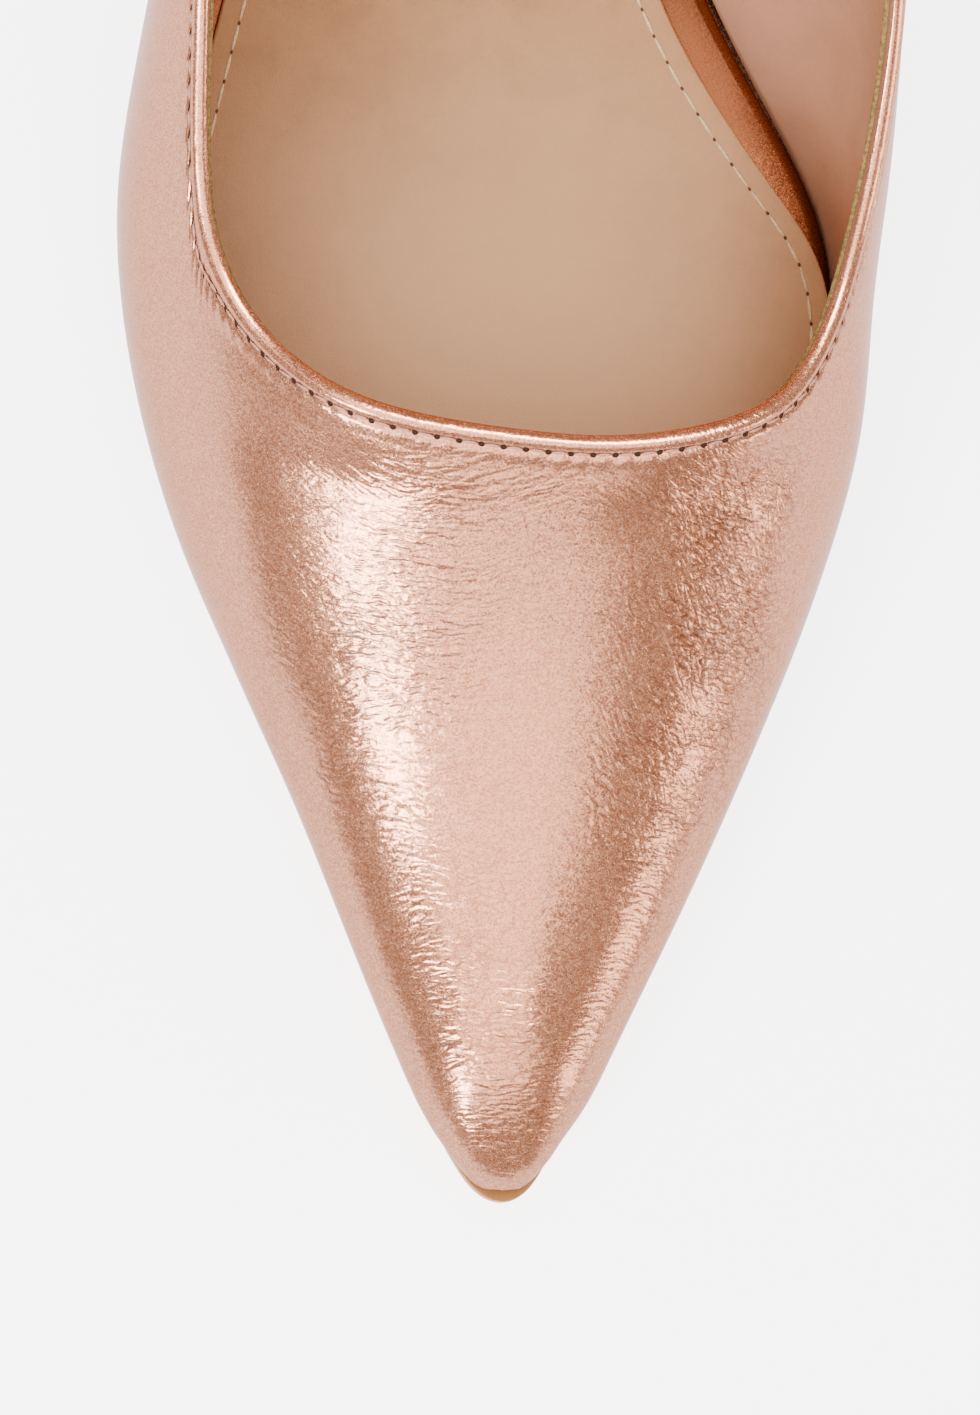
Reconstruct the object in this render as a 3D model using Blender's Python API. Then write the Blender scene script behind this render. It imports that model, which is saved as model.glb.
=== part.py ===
"""Pointed slingback stiletto, a right shoe, as separate solids in metres.

The shoe stands on its forefoot and heel tip on the plane Z = 0. Its toe points to -Y, the inner
(medial) side of the foot is +X, and the middle of its plan is at X = Y = 0. Stations are given in
millimetres behind the toe tip, half widths from the line through the toe tip and the heel seat.
"""
import math

import bmesh
import bpy
import numpy as np

MM = 0.001

# Driving sizes of the shoe, in millimetres.
LENGTH = 238.0             # toe tip to the back of the heel seat, in plan
TOE_SPRING = 7.0           # height of the sole under the toe tip
SPRING_END = 72.0          # station where the sole touches the ground
SHANK_START = 106.0        # station where the sole leaves the ground
CENTRE_BACK = 118.4        # station of the middle of the plan
CENTRE_SIDE = -0.15        # side of the middle of the plan

SOLE_THICK = 2.2
FIT_GAP = 0.3              # clearance between pieces that touch
WALL = 1.8                 # leather and lining of the upper together
INSOLE_THICK = 3.4
SOCK_THICK = 0.8
FEATHER_HIGH = SOLE_THICK + FIT_GAP                    # lower edge of the upper over the sole line
SOCK_HIGH = FEATHER_HIGH + INSOLE_THICK + FIT_GAP

# Underside of the sole behind the ball: station, height over the ground.
SHANK_LINE = (
    ("back", "height"),
    (106, 0.0), (112, 0.4), (120, 2.2), (132, 8.0), (145, 17.6), (160, 30.6),
    (175, 44.4), (190, 57.0), (205, 67.4), (220, 75.0), (238, 80.5),
)

# Outline of the last's bottom edge, as half widths. Both sides meet at the toe tip, 0.9 mm to the
# medial side, and at the back of the heel seat, 1.5 mm to the lateral side.
FEATHER = (
    ("back", "lateral", "medial"),
    (0, -0.9, 0.9), (3, 3.7, 5.2), (8, 6.9, 8.4), (20, 11.7, 13.8), (35, 17.3, 20.7),
    (50, 23.5, 27.1), (65, 30.4, 32.8), (80, 35.2, 36.6), (94, 37.6, 38.0), (104, 37.8, 36.6),
    (116, 36.2, 30.9), (130, 33.0, 22.8), (145, 29.4, 17.4), (160, 27.0, 16.2),
    (180, 25.8, 19.4), (200, 26.2, 22.8), (216, 24.6, 21.8), (230, 17.2, 14.4), (238, 1.5, -1.5),
)

# Cross sections of the upper over the bottom edge: height and side of the crest, swell of each wall
# past the bottom edge, height of the wall's fullest part, and where the shoulders lie, as shares of
# the half width and of the crest's height.
SECTIONS = (
    ("back", "crest", "crest_side", "lateral_swell", "medial_swell", "wall", "shoulder_out",
     "shoulder_up"),
    (0, 0.0, 0.9, 0.0, 0.0, 0.0, 0.70, 0.90),
    (3, 6.0, 0.8, 0.9, 0.9, 2.4, 0.70, 0.90),
    (8, 10.0, 0.8, 1.6, 1.6, 4.0, 0.70, 0.89),
    (14, 12.6, 0.9, 2.0, 2.0, 5.0, 0.70, 0.89),
    (20, 14.3, 1.0, 2.6, 2.6, 5.8, 0.71, 0.89),
    (35, 19.0, 1.6, 3.5, 3.3, 7.8, 0.73, 0.90),
    (50, 25.4, 2.4, 4.1, 3.7, 10.0, 0.74, 0.91),
    (65, 33.2, 3.4, 4.5, 4.1, 12.0, 0.72, 0.90),
    (80, 41.4, 4.4, 5.2, 4.1, 14.5, 0.71, 0.89),
    (94, 50.0, 5.0, 5.7, 3.6, 17.0, 0.71, 0.88),
    (104, 57.0, 5.2, 6.0, 6.5, 19.5, 0.73, 0.88),
    (116, 66.0, 5.2, 6.0, 12.9, 22.5, 0.77, 0.88),
    (130, 76.0, 5.0, 7.2, 19.8, 26.0, 0.80, 0.88),
    (145, 86.0, 4.6, 8.4, 22.3, 29.0, 0.82, 0.88),
    (160, 95.0, 4.0, 8.8, 21.5, 31.0, 0.82, 0.88),
    (180, 104.0, 3.0, 8.0, 15.5, 32.0, 0.80, 0.88),
)

# Topline in the flattened pattern: station and girth from the crest, minus on the lateral side.
# The first and last rows are the upper corners of the wings that hold the sling.
TOPLINE = (
    ("back", "girth"),
    (158, -76.0), (146, -68.0), (133, -58.0), (120, -50.6), (106, -45.2), (96, -41.6),
    (87.4, -35.2), (80.8, -26.0), (76.6, -15.4), (74.6, -4.0), (74.2, 6.0), (76.0, 15.6),
    (80.0, 24.6), (86.8, 32.2), (96, 38.8), (106, 42.8), (120, 48.2), (133, 55.0), (146, 65.4),
    (158, 74.0),
)

# Rear edge of each wing, from the bottom edge up to the lower corner of the sling's seat: station
# and height up the wall.
WING_EDGE = (
    ("back", "up"),
    (139, 0.0), (150, 4.0), (157, 13.0), (162, 26.0),
)
WING_FADE = 0.14           # share of each side's grid over which the rear edge's curve dies out
WING_ROWS = 0.7            # share of the rear edge that lies under the lower corner

UPPER_AROUND = 76          # grid of the upper, from wing to wing and from bottom edge to topline
UPPER_UP = 11
TOE_CROWDING = 1.4         # brings the grid's columns together towards the toe tip

# Outlines of the bottom pieces, as distances out from the bottom edge on each side.
SOLE_EDGE = (
    ("back", "lateral", "medial"),
    (0, 1.0, 1.0), (3, 0.2, 0.2), (10, -0.4, -0.4), (30, -0.4, -0.4), (60, -0.3, -0.3),
    (90, -0.3, -0.3), (115, -0.2, -0.2), (138, -0.2, -0.2), (160, -2.6, -2.6), (191, -3.0, -3.0),
)
INSOLE_EDGE = (
    ("back", "lateral", "medial"),
    (8, -3.4, -3.4), (24, -2.7, -2.7), (60, -2.2, -2.2), (110, -2.2, -2.2), (144, -2.2, -2.2),
    (166, -0.4, -0.4), (190, -0.2, -0.2), (238, -0.2, -0.2),
)
SOCK_EDGE = (
    ("back", "lateral", "medial"),
    (12, -4.6, -4.6), (24, -3.4, -3.4), (45, -2.0, -2.0), (70, -1.6, -1.6), (90, -2.2, -2.3),
    (98, -3.2, -3.8), (107, -4.6, -6.0), (117, -5.3, -6.8), (130, -5.4, -6.8), (150, -5.0, -5.6),
    (175, -3.4, -3.5), (205, -3.2, -3.2), (238, -3.2, -3.2),
)
SOLE_END = 190.0           # station of the heel breast
INSOLE_START = 8.0         # blunt front ends, inside the toe
SOCK_START = 12.0
INSOLE_ROUNDING = 1.4      # radius of the insole's wrapped edges

# Heel: seat under the insole, slim stem and top piece.
HEEL_FRONT = 190.6
HEEL_SWEEP_FRONT = 4.8     # how fast the seat narrows to the stem, at the breast and at the back
HEEL_SWEEP_BACK = 2.4
STEM_MIDDLE = 222.8
STEM_SIDE = -1.5
STEM_HALF_LONG = 5.3
STEM_HALF_WIDE = 5.0
TIP_HIGH = 6.0
TIP_INSET = 0.3

# Sling: its middle line between the wings, round the back of the heel.
SLING_ROUTE = (
    ("side", "back", "height"),
    (-28.6, 171, 74.6), (-27.4, 187, 88.8), (-23.6, 203, 101.8), (-16.4, 218, 112.6),
    (-8.4, 228.0, 118.2), (-1.4, 230.6, 120.0), (5.6, 228.0, 118.2), (13.6, 218, 112.6),
    (21.2, 203, 101.8), (25.0, 187, 88.6), (26.1, 171, 74.8),
)
SLING_WIDE = 8.6
SLING_THICK = 2.0
SLING_LEAN = 8.0           # degrees that its upper edge leans in at the back of the heel
WING_LAPS = (146, 152, 157)    # stations of the sling's middle line inside the wings
WING_LAP_DROP = 6.6        # girth from the topline down to that line
WING_ROOM = 0.7            # room between a wing's inner face and the sling's middle

# Buckle on the lateral side, in the sling's own run, outward and across measures.
TAB_THICK = 1.2
TAB_START = 2.0
TAB_RETURN = 25.0          # where the folded end of the tab stops
BAR_RUN = 40.0
BUCKLE_LONG = 11.0
WIRE = 0.85                # radius of the buckle's wire
TAIL_END = 23.5            # free end of the sling, behind the wing
BUCKLE_CORNER = 2.2        # radius of the frame's corners
BUCKLE_ROOM = 0.5          # room beside the sling inside the frame
PRONG_WIRE = 0.6
PRONG_START = 2.2          # prong's root behind the bar, and how far its tip passes the frame
PRONG_PAST = 0.8
KEEPER_RUN = 28.5
KEEPER_LONG = 5.0
KEEPER_THICK = 0.8


def column(table, name):
    """One named column of a table whose first row holds the names."""
    index = table[0].index(name)
    return [float(row[index]) for row in table[1:]]


def natural_spline(places, values):
    """Cubic through the given values, with no bending at its ends."""
    places = np.asarray(places, float)
    values = np.asarray(values, float)
    count = len(places)
    steps = np.diff(places)
    matrix = np.eye(count)
    right = np.zeros(count)
    for i in range(1, count - 1):
        matrix[i, i - 1:i + 2] = steps[i - 1], 2 * (steps[i - 1] + steps[i]), steps[i]
        slope_change = (values[i + 1] - values[i]) / steps[i] - (values[i] - values[i - 1]) / steps[i - 1]
        right[i] = 6 * slope_change
    bend = np.linalg.solve(matrix, right)

    def value(place):
        place = np.asarray(place, float)
        i = np.clip(np.searchsorted(places, place) - 1, 0, count - 2)
        after = place - places[i]
        before = places[i + 1] - place
        step = steps[i]
        cubic = (bend[i] * before ** 3 + bend[i + 1] * after ** 3) / (6 * step)
        low = (values[i] / step - bend[i] * step / 6) * before
        high = (values[i + 1] / step - bend[i + 1] * step / 6) * after
        return cubic + low + high

    return value


def phase(back):
    """Angle that runs from 0 at the toe tip to pi at the heel seat's back, so both ends are round."""
    return np.arccos(np.clip(1 - 2 * np.asarray(back, float) / LENGTH, -1, 1))


def along_shoe(table, name):
    """A table's column as a smooth function of the station, with round ends."""
    curve = natural_spline(phase(column(table, "back")), column(table, name))
    return lambda back: curve(phase(back))


def along(table, name):
    """A table's column as a smooth function of the station."""
    return natural_spline(column(table, "back"), column(table, name))


shank_height = along(SHANK_LINE, "height")
feather_lateral = along_shoe(FEATHER, "lateral")
feather_medial = along_shoe(FEATHER, "medial")
crest = along_shoe(SECTIONS, "crest")
crest_side = along_shoe(SECTIONS, "crest_side")
lateral_swell = along_shoe(SECTIONS, "lateral_swell")
medial_swell = along_shoe(SECTIONS, "medial_swell")
wall_height = along_shoe(SECTIONS, "wall")
shoulder_out = along_shoe(SECTIONS, "shoulder_out")
shoulder_up = along_shoe(SECTIONS, "shoulder_up")


def sole_height(back):
    """Height of the sole's underside: toe spring, flat forefoot, then the rise to the heel."""
    if back < SPRING_END:
        return TOE_SPRING * (1 - back / SPRING_END) ** 2
    if back < SHANK_START:
        return 0.0
    return float(shank_height(min(back, LENGTH)))


def sole_slope(back):
    """Angle of the sole's underside over the ground."""
    reach = 0.5
    return math.atan2(sole_height(back + reach) - sole_height(back - reach), 2 * reach)


def layer_height(back, layer):
    """Height of a layer that lies so far over the sole's underside."""
    return sole_height(back) + layer / math.cos(sole_slope(back))


def spline_weights(samples, handles=7, degree=3):
    """Weights of a clamped cubic B-spline's handles at even places along it."""
    inner = [i / (handles - degree) for i in range(handles - degree + 1)]
    knots = [0.0] * degree + inner + [1.0] * degree
    rows = []
    for place in np.linspace(0.0, 1.0, samples):
        last = min(int(place * (handles - degree)), handles - degree - 1) + degree
        weights = [1.0 if i == last else 0.0 for i in range(handles + degree)]
        for order in range(1, degree + 1):
            for i in range(handles + degree - order):
                rise = knots[i + order] - knots[i]
                fall = knots[i + order + 1] - knots[i + 1]
                left = (place - knots[i]) / rise * weights[i] if rise else 0.0
                right = (knots[i + order + 1] - place) / fall * weights[i + 1] if fall else 0.0
                weights[i] = left + right
        rows.append(weights[:handles])
    return np.array(rows)


SECTION_SAMPLES = 401
SECTION_WEIGHTS = spline_weights(SECTION_SAMPLES)


def section(back):
    """Outer line of the upper at a station, as side and height, with its girth from the crest."""
    lateral = float(feather_lateral(back))
    medial = float(feather_medial(back))
    lateral_full = lateral + float(lateral_swell(back))
    medial_full = medial + float(medial_swell(back))
    wall = float(wall_height(back))
    out = float(shoulder_out(back))
    up = float(shoulder_up(back))
    middle = float(crest_side(back))
    top = float(crest(back)) * 6 / (2 * up + 4)
    handles = np.array((
        (-lateral, 0.0), (-lateral_full, wall), (middle / 2 - lateral_full * out, top * up),
        (middle, top),
        (middle / 2 + medial_full * out, top * up), (medial_full, wall), (medial, 0.0),
    ))
    line = SECTION_WEIGHTS @ handles
    line[:, 1] += layer_height(back, FEATHER_HIGH)
    girth = np.concatenate(([0.0], np.cumsum(np.hypot(*np.diff(line, axis=0).T))))
    return line, girth - girth[SECTION_SAMPLES // 2]


def upper_point(back, girth):
    """Place on the upper's outer face from a station and a girth."""
    line, girths = section(back)
    return (float(np.interp(girth, girths, line[:, 0])), back, float(np.interp(girth, girths, line[:, 1])))


def half_girth(back, side):
    """Girth from the crest to the bottom edge, minus on the lateral side (side -1)."""
    girths = section(back)[1]
    return girths[0] if side < 0 else girths[-1]


def even_curve(rows, count):
    """Points at even steps along a smooth curve through rows of coordinates."""
    rows = np.asarray(rows, float)
    chord = np.concatenate(([0.0], np.cumsum(np.linalg.norm(np.diff(rows, axis=0), axis=1))))
    curves = [natural_spline(chord, axis) for axis in rows.T]
    dense = np.column_stack([curve(np.linspace(0, chord[-1], 600)) for curve in curves])
    run = np.concatenate(([0.0], np.cumsum(np.linalg.norm(np.diff(dense, axis=0), axis=1))))
    places = np.linspace(0, run[-1], count)
    return np.column_stack([np.interp(places, run, axis) for axis in dense.T])


def to_world(point):
    """A point as side, station and height becomes a place in the world."""
    side, back, height = point
    return ((side - CENTRE_SIDE) * MM, (back - CENTRE_BACK) * MM, height * MM)


def finish_mesh(name, mesh_builder, finish, collection):
    """Turns a bmesh into a named object with its finish."""
    mesh = bpy.data.meshes.new(name)
    mesh_builder.to_mesh(mesh)
    mesh_builder.free()
    mesh.materials.append(finish)
    mesh.shade_smooth()
    mesh.set_sharp_from_angle(angle=math.radians(40))
    piece = bpy.data.objects.new(name, mesh)
    collection.objects.link(piece)
    return piece


def loft(rows, first_cap=True, last_cap=True):
    """A closed skin over rings of places, with a flat cap at either end where its ring is open."""
    builder = bmesh.new()
    grid = [[builder.verts.new(to_world(point)) for point in row] for row in rows]
    for low, high in zip(grid, grid[1:]):
        for i in range(len(low)):
            j = (i + 1) % len(low)
            builder.faces.new((low[i], low[j], high[j], high[i]))
    if first_cap:
        builder.faces.new(list(reversed(grid[0])))
    if last_cap:
        builder.faces.new(grid[-1])
    bmesh.ops.remove_doubles(builder, verts=builder.verts, dist=0.00002)
    bmesh.ops.dissolve_degenerate(builder, edges=builder.edges, dist=0.000001)
    bmesh.ops.recalc_face_normals(builder, faces=builder.faces)
    return builder


def wall_rings(columns, thickness):
    """Rings round a wall's section: up its outer face, over the top and down its inner face."""
    outer = np.array(columns)
    ahead = np.gradient(outer, axis=0)
    upward = np.gradient(outer, axis=1)
    normal = np.cross(ahead, upward)
    normal /= np.linalg.norm(normal, axis=2)[:, :, None]
    level = normal[:, 0] * (1, 1, 0)
    normal[:, 0] = level / np.linalg.norm(level, axis=1)[:, None]
    inner = outer - normal * thickness
    return [list(out) + list(reversed(within)) for out, within in zip(outer, inner)]


def wing_rear(share):
    """Station and height up the wall along the curved part of a wing's rear edge."""
    rows = even_curve(WING_EDGE[1:], 41)
    return rows[round(share * 40)]


def wing_place(side, share):
    """Rear edge of a wing in the pattern, from the bottom edge (0) to the topline (1)."""
    corner = WING_EDGE[-1]
    top = TOPLINE[1] if side < 0 else TOPLINE[-1]
    if share < WING_ROWS:
        back, up = wing_rear(share / WING_ROWS)
        return np.array((back, half_girth(back, side) - side * up))
    low = np.array((corner[0], half_girth(corner[0], side) - side * corner[1]))
    return low + (np.array(top, float) - low) * (share - WING_ROWS) / (1 - WING_ROWS)


def wing_chord(side, share):
    """Straight line in the pattern between the ends of a wing's rear edge."""
    low = wing_place(side, 0.0)
    return low + (wing_place(side, 1.0) - low) * share


def upper_grid(around, up):
    """Grid over the upper's outer face: columns run from the bottom edge to the topline."""
    edge_top = even_curve(TOPLINE[1:], around + 1)
    columns = []
    for i in range(around + 1):
        turn = 2 * i / around - 1
        side = -1 if turn < 0 else 1
        back = WING_EDGE[1][0] * abs(turn) ** TOE_CROWDING
        low = np.array((back, half_girth(back, side)))
        fade = max(0.0, 1 - (1 - abs(turn)) / WING_FADE) ** 2
        places = []
        for j in range(up + 1):
            share = j / up
            place = low + (edge_top[i] - low) * share
            if fade > 0:
                place = place + (wing_place(side, share) - wing_chord(side, share)) * fade
            places.append(upper_point(*place))
        columns.append(places)
    return columns


def outline(edge_table, start, end, steps):
    """Lateral and medial points of a bottom piece's outline, moved out from the bottom edge."""
    angles = np.linspace(float(phase(start)), float(phase(end)), steps + 1)
    backs = LENGTH / 2 * (1 - np.cos(angles))
    rows = []
    for edge, name, side in ((feather_lateral, "lateral", -1), (feather_medial, "medial", 1)):
        line = np.column_stack((side * edge(backs), backs))
        ahead = np.gradient(line, axis=0)
        if start == 0:
            ahead[0] = (side, 0.0)
        if end == LENGTH:
            ahead[-1] = (-side, 0.0)
        ahead /= np.linalg.norm(ahead, axis=1)[:, None]
        normal = np.column_stack((ahead[:, 1], -ahead[:, 0])) * side
        rows.append(line + normal * along(edge_table, name)(backs)[:, None])
    return rows


def bottom_slab(edge_table, start, end, layer, thickness, rounding=0.0, steps=46, across=4):
    """Closed slab over the sole line inside an outline, its long edges square or rounded."""
    lateral, medial = outline(edge_table, start, end, steps)
    rows = []
    for left, right in zip(lateral, medial):
        half = float(np.linalg.norm(right - left)) / 2
        corner = min(rounding, half * 0.9, thickness / 2)
        inset = corner / (2 * half) if half > 0 else 0.0
        half_ring = [(inset + (1 - 2 * inset) * i / across, 0.0) for i in range(across + 1)]
        if rounding > 0:
            cut = 1 - math.sqrt(0.5)
            half_ring += [(1 - inset * cut, corner * cut), (1.0, corner), (1.0, thickness - corner),
                          (1 - inset * cut, thickness - corner * cut)]
        ring = half_ring + [(1 - share, thickness - up) for share, up in half_ring]
        row = []
        for share, up in ring:
            side, back = left + (right - left) * share
            row.append((side, back, layer_height(back, layer + up)))
        rows.append(row)
    return rows


def heel_rings(levels, around):
    """Rings from the heel's seat down to the top of its tip."""
    lateral, medial = outline(INSOLE_EDGE, HEEL_FRONT, LENGTH, around)
    seat = list(lateral) + list(medial[-2::-1])
    front_steps = around // 2
    for i in range(1, front_steps):
        seat.append(medial[0] + (lateral[0] - medial[0]) * i / front_steps)
    total = len(seat)
    wrap = 2 * around + 1
    rings = []
    for level in np.linspace(0, 1, levels):
        ring = []
        for i, (side, back) in enumerate(seat):
            if i < wrap:
                turn = math.pi * (1.0 - i / (wrap - 1))
                stem = (STEM_SIDE + STEM_HALF_WIDE * math.cos(turn),
                        STEM_MIDDLE + STEM_HALF_LONG * (2 * math.sin(turn) ** 0.8 - 1))
            else:
                share = (i - wrap + 1) / (total - wrap + 1)
                stem = (STEM_SIDE + STEM_HALF_WIDE * (1 - 2 * share),
                        STEM_MIDDLE - STEM_HALF_LONG)
            rearward = (back - HEEL_FRONT) / (LENGTH - HEEL_FRONT)
            sweep = 1 - (1 - level) ** (HEEL_SWEEP_FRONT + (HEEL_SWEEP_BACK - HEEL_SWEEP_FRONT) * rearward)
            top = layer_height(back, FEATHER_HIGH - FIT_GAP)
            ring.append((side + (stem[0] - side) * sweep, back + (stem[1] - back) * sweep,
                         top + (TIP_HIGH + FIT_GAP - top) * level))
        rings.append(ring)
    return rings


def wing_lap(side, index):
    """Place of the sling's middle line against the inner face of a wing, and the wing's normal."""
    topline = even_curve(TOPLINE[1:], 400)
    half = topline[:200] if side < 0 else topline[200:]
    back = WING_LAPS[index]
    order = np.argsort(half[:, 0])
    girth = float(np.interp(back, half[order, 0], half[order, 1])) + side * WING_LAP_DROP
    here, ahead, down = (np.array(upper_point(*place)) for place in
                         ((back, girth), (back + 1, girth), (back, girth + side)))
    normal = np.cross(ahead - here, down - here)
    normal *= np.sign(normal[0]) * side / np.linalg.norm(normal)
    return here - normal * (WALL + WING_ROOM + SLING_THICK / 2), normal


class Sling:
    """The sling's route, and places given by run, distance outward and distance across it."""

    def __init__(self):
        laps = range(len(WING_LAPS))
        lateral = [wing_lap(-1, i) for i in laps]
        medial = [wing_lap(1, i) for i in reversed(laps)]
        rows = [place for place, _ in lateral] + [np.array(row, float) for row in SLING_ROUTE[1:]]
        rows += [place for place, _ in medial]
        rows = np.array(rows)
        chord = np.concatenate(([0.0], np.cumsum(np.linalg.norm(np.diff(rows, axis=0), axis=1))))
        self.curves = [natural_spline(chord, axis) for axis in rows.T]
        self.length = float(chord[-1])
        runs, leans = [], []
        count = len(rows)
        for i, (_, normal) in ((0, lateral[0]), (count - 1, medial[-1])):
            _, outward, up = self.upright(chord[i])
            runs.append(chord[i])
            leans.append(math.atan2(normal @ up, normal @ outward))
        runs.insert(1, self.length / 2)
        leans.insert(1, math.radians(SLING_LEAN))
        self.lean = natural_spline(runs, leans)

    def middle(self, run):
        """Point of the middle line."""
        return np.array([float(curve(run)) for curve in self.curves])

    def upright(self, run):
        """Directions ahead, outward and up across the strap, with no lean."""
        ahead = self.middle(run + 0.2) - self.middle(run - 0.2)
        ahead /= np.linalg.norm(ahead)
        up = np.array((0.0, 0.0, 1.0)) - ahead * ahead[2]
        up /= np.linalg.norm(up)
        return ahead, np.cross(up, ahead), up

    def place(self, run, out, across):
        """Point at a run, so far outward and so far up across the strap."""
        _, outward, up = self.upright(run)
        lean = float(self.lean(run))
        leaning = up * math.cos(lean) - outward * math.sin(lean)
        facing = outward * math.cos(lean) + up * math.sin(lean)
        return self.middle(run) + facing * out + leaning * across


def ribbon_rings(sling, line, thickness, width):
    """Rings of a flat strap along a line of run and outward places."""
    line = np.array(line, float)
    ahead = np.gradient(line, axis=0)
    ahead /= np.linalg.norm(ahead, axis=1)[:, None]
    corner = thickness * 0.28
    half, deep = width / 2, thickness / 2
    profile = ((deep, half - corner), (deep, corner - half), (deep - corner, -half),
               (corner - deep, -half), (-deep, corner - half), (-deep, half - corner),
               (corner - deep, half), (deep - corner, half))
    return [[sling.place(run - step[1] * out, away + step[0] * out, across) for out, across in profile]
            for (run, away), step in zip(line, ahead)]


def sling_line(sling):
    """Run and outward places of the sling: free end, dip under the buckle, medial wing."""
    over = TAB_THICK / 2 + FIT_GAP + SLING_THICK / 2
    dip_start = BAR_RUN + 1.5
    dip_end = BAR_RUN + 7.5
    runs = list(np.arange(TAIL_END, dip_start, 2.5)) + list(np.linspace(dip_start, dip_end, 7))
    runs += list(np.linspace(dip_end + 3, sling.length - 1.0, 44))
    line = []
    for run in runs:
        share = min(max((run - dip_start) / (dip_end - dip_start), 0.0), 1.0)
        line.append((run, over * (0.5 + 0.5 * math.cos(math.pi * share))))
    return line


def tab_line():
    """Run and outward places of the tab: out of the wing, round the bar and back under itself."""
    turn_radius = WIRE + FIT_GAP + TAB_THICK / 2
    line = [(run, 0.0) for run in np.linspace(TAB_START, BAR_RUN - 0.5, 12)]
    for angle in np.linspace(90, -100, 11):
        line.append((BAR_RUN + turn_radius * math.cos(math.radians(angle)),
                     turn_radius * (math.sin(math.radians(angle)) - 1)))
    under = -(TAB_THICK + FIT_GAP)
    line += [(BAR_RUN - 3.0, under * 1.75), (BAR_RUN - 5.5, under * 1.15), (BAR_RUN - 8.0, under),
             (TAB_RETURN, under)]
    return line


def frame_line():
    """Run and across places round the buckle's frame, from its far rail back to its bar."""
    middle = SLING_WIDE / 2 + BUCKLE_ROOM + WIRE - BUCKLE_CORNER
    far = BUCKLE_LONG - BUCKLE_CORNER
    quarters = ((far, middle), (BUCKLE_CORNER, middle), (BUCKLE_CORNER, -middle), (far, -middle))
    places = []
    for quarter, (run, across) in enumerate(quarters):
        for angle in np.radians(np.linspace(90 * quarter, 90 * quarter + 90, 5)):
            places.append((run + BUCKLE_CORNER * math.cos(angle), across + BUCKLE_CORNER * math.sin(angle)))
    return places


def keeper_rings(sling):
    """Sections of the keeper's band at its four corners, and the first one again to close it."""
    low = -(TAB_THICK * 1.5 + FIT_GAP * 2)
    high = TAB_THICK / 2 + FIT_GAP * 2 + SLING_THICK
    deep = (high - low + KEEPER_THICK) / 2
    wide = SLING_WIDE / 2 + FIT_GAP + KEEPER_THICK / 2
    front, back = KEEPER_RUN, KEEPER_RUN + KEEPER_LONG
    half = KEEPER_THICK / 2
    rings = []
    for across_sign, out_sign in ((1, 1), (-1, 1), (-1, -1), (1, -1), (1, 1)):
        ring = []
        for run, grow in ((front, half), (back, half), (back, -half), (front, -half)):
            out = (low + high) / 2 + out_sign * (deep + grow)
            ring.append(sling.place(run, out, across_sign * (wide + grow)))
        rings.append(ring)
    return rings


def wire(name, places, radius, cyclic, material, collection):
    """A round wire through places, as a closed mesh."""
    curve = bpy.data.curves.new(name + "_route", "CURVE")
    curve.dimensions = "3D"
    curve.bevel_depth = radius * MM
    curve.bevel_resolution = 2
    curve.use_fill_caps = True
    spline = curve.splines.new("POLY")
    spline.points.add(len(places) - 1)
    for point, place in zip(spline.points, places):
        point.co = (*to_world(place), 1.0)
    spline.use_cyclic_u = cyclic
    route = bpy.data.objects.new(name + "_route", curve)
    collection.objects.link(route)
    bpy.context.view_layer.update()
    depsgraph = bpy.context.evaluated_depsgraph_get()
    mesh = bpy.data.meshes.new_from_object(route.evaluated_get(depsgraph))
    bpy.data.objects.remove(route)
    builder = bmesh.new()
    builder.from_mesh(mesh)
    bpy.data.meshes.remove(mesh)
    bmesh.ops.remove_doubles(builder, verts=builder.verts, dist=0.00001)
    finish_mesh(name, builder, material, collection)


def finish(name, colour, roughness, metallic):
    """A plain principled finish."""
    material = bpy.data.materials.new(name)
    material.use_nodes = True
    shader = material.node_tree.nodes["Principled BSDF"]
    shader.inputs["Base Color"].default_value = (*colour, 1.0)
    shader.inputs["Roughness"].default_value = roughness
    shader.inputs["Metallic"].default_value = metallic
    material.diffuse_color = (*colour, 1.0)
    return material


def clear_scene():
    """Removes whatever the open file holds."""
    for item in list(bpy.data.objects):
        bpy.data.objects.remove(item, do_unlink=True)


def build_upper(collection, leather):
    """Vamp and quarters as one wall, open above, behind and below."""
    rings = wall_rings(upper_grid(UPPER_AROUND, UPPER_UP), WALL)
    finish_mesh("upper", loft(rings), leather, collection)


def build_bottom(collection, sole_finish, leather, lining):
    """Outsole, wrapped insole and sock."""
    sole = bottom_slab(SOLE_EDGE, 0, SOLE_END, 0.0, SOLE_THICK)
    finish_mesh("outsole", loft(sole, first_cap=False), sole_finish, collection)
    insole = bottom_slab(INSOLE_EDGE, INSOLE_START, LENGTH, FEATHER_HIGH, INSOLE_THICK, INSOLE_ROUNDING)
    finish_mesh("insole", loft(insole, last_cap=False), leather, collection)
    sock = bottom_slab(SOCK_EDGE, SOCK_START, LENGTH, SOCK_HIGH, SOCK_THICK)
    finish_mesh("sock", loft(sock, last_cap=False), lining, collection)


def build_heel(collection, leather, rubber):
    """Covered stiletto heel and its top piece."""
    rings = heel_rings(levels=13, around=14)
    finish_mesh("heel", loft(rings), leather, collection)
    last = rings[-1]
    low = []
    for height, inset in ((TIP_HIGH, TIP_INSET), (0.6, TIP_INSET + 0.3), (0.0, TIP_INSET + 0.9)):
        shrink = 1 - inset / STEM_HALF_WIDE
        low.append([(STEM_SIDE + (side - STEM_SIDE) * shrink,
                     STEM_MIDDLE + (back - STEM_MIDDLE) * shrink, height) for side, back, _ in last])
    finish_mesh("heel_tip", loft(low), rubber, collection)


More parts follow.
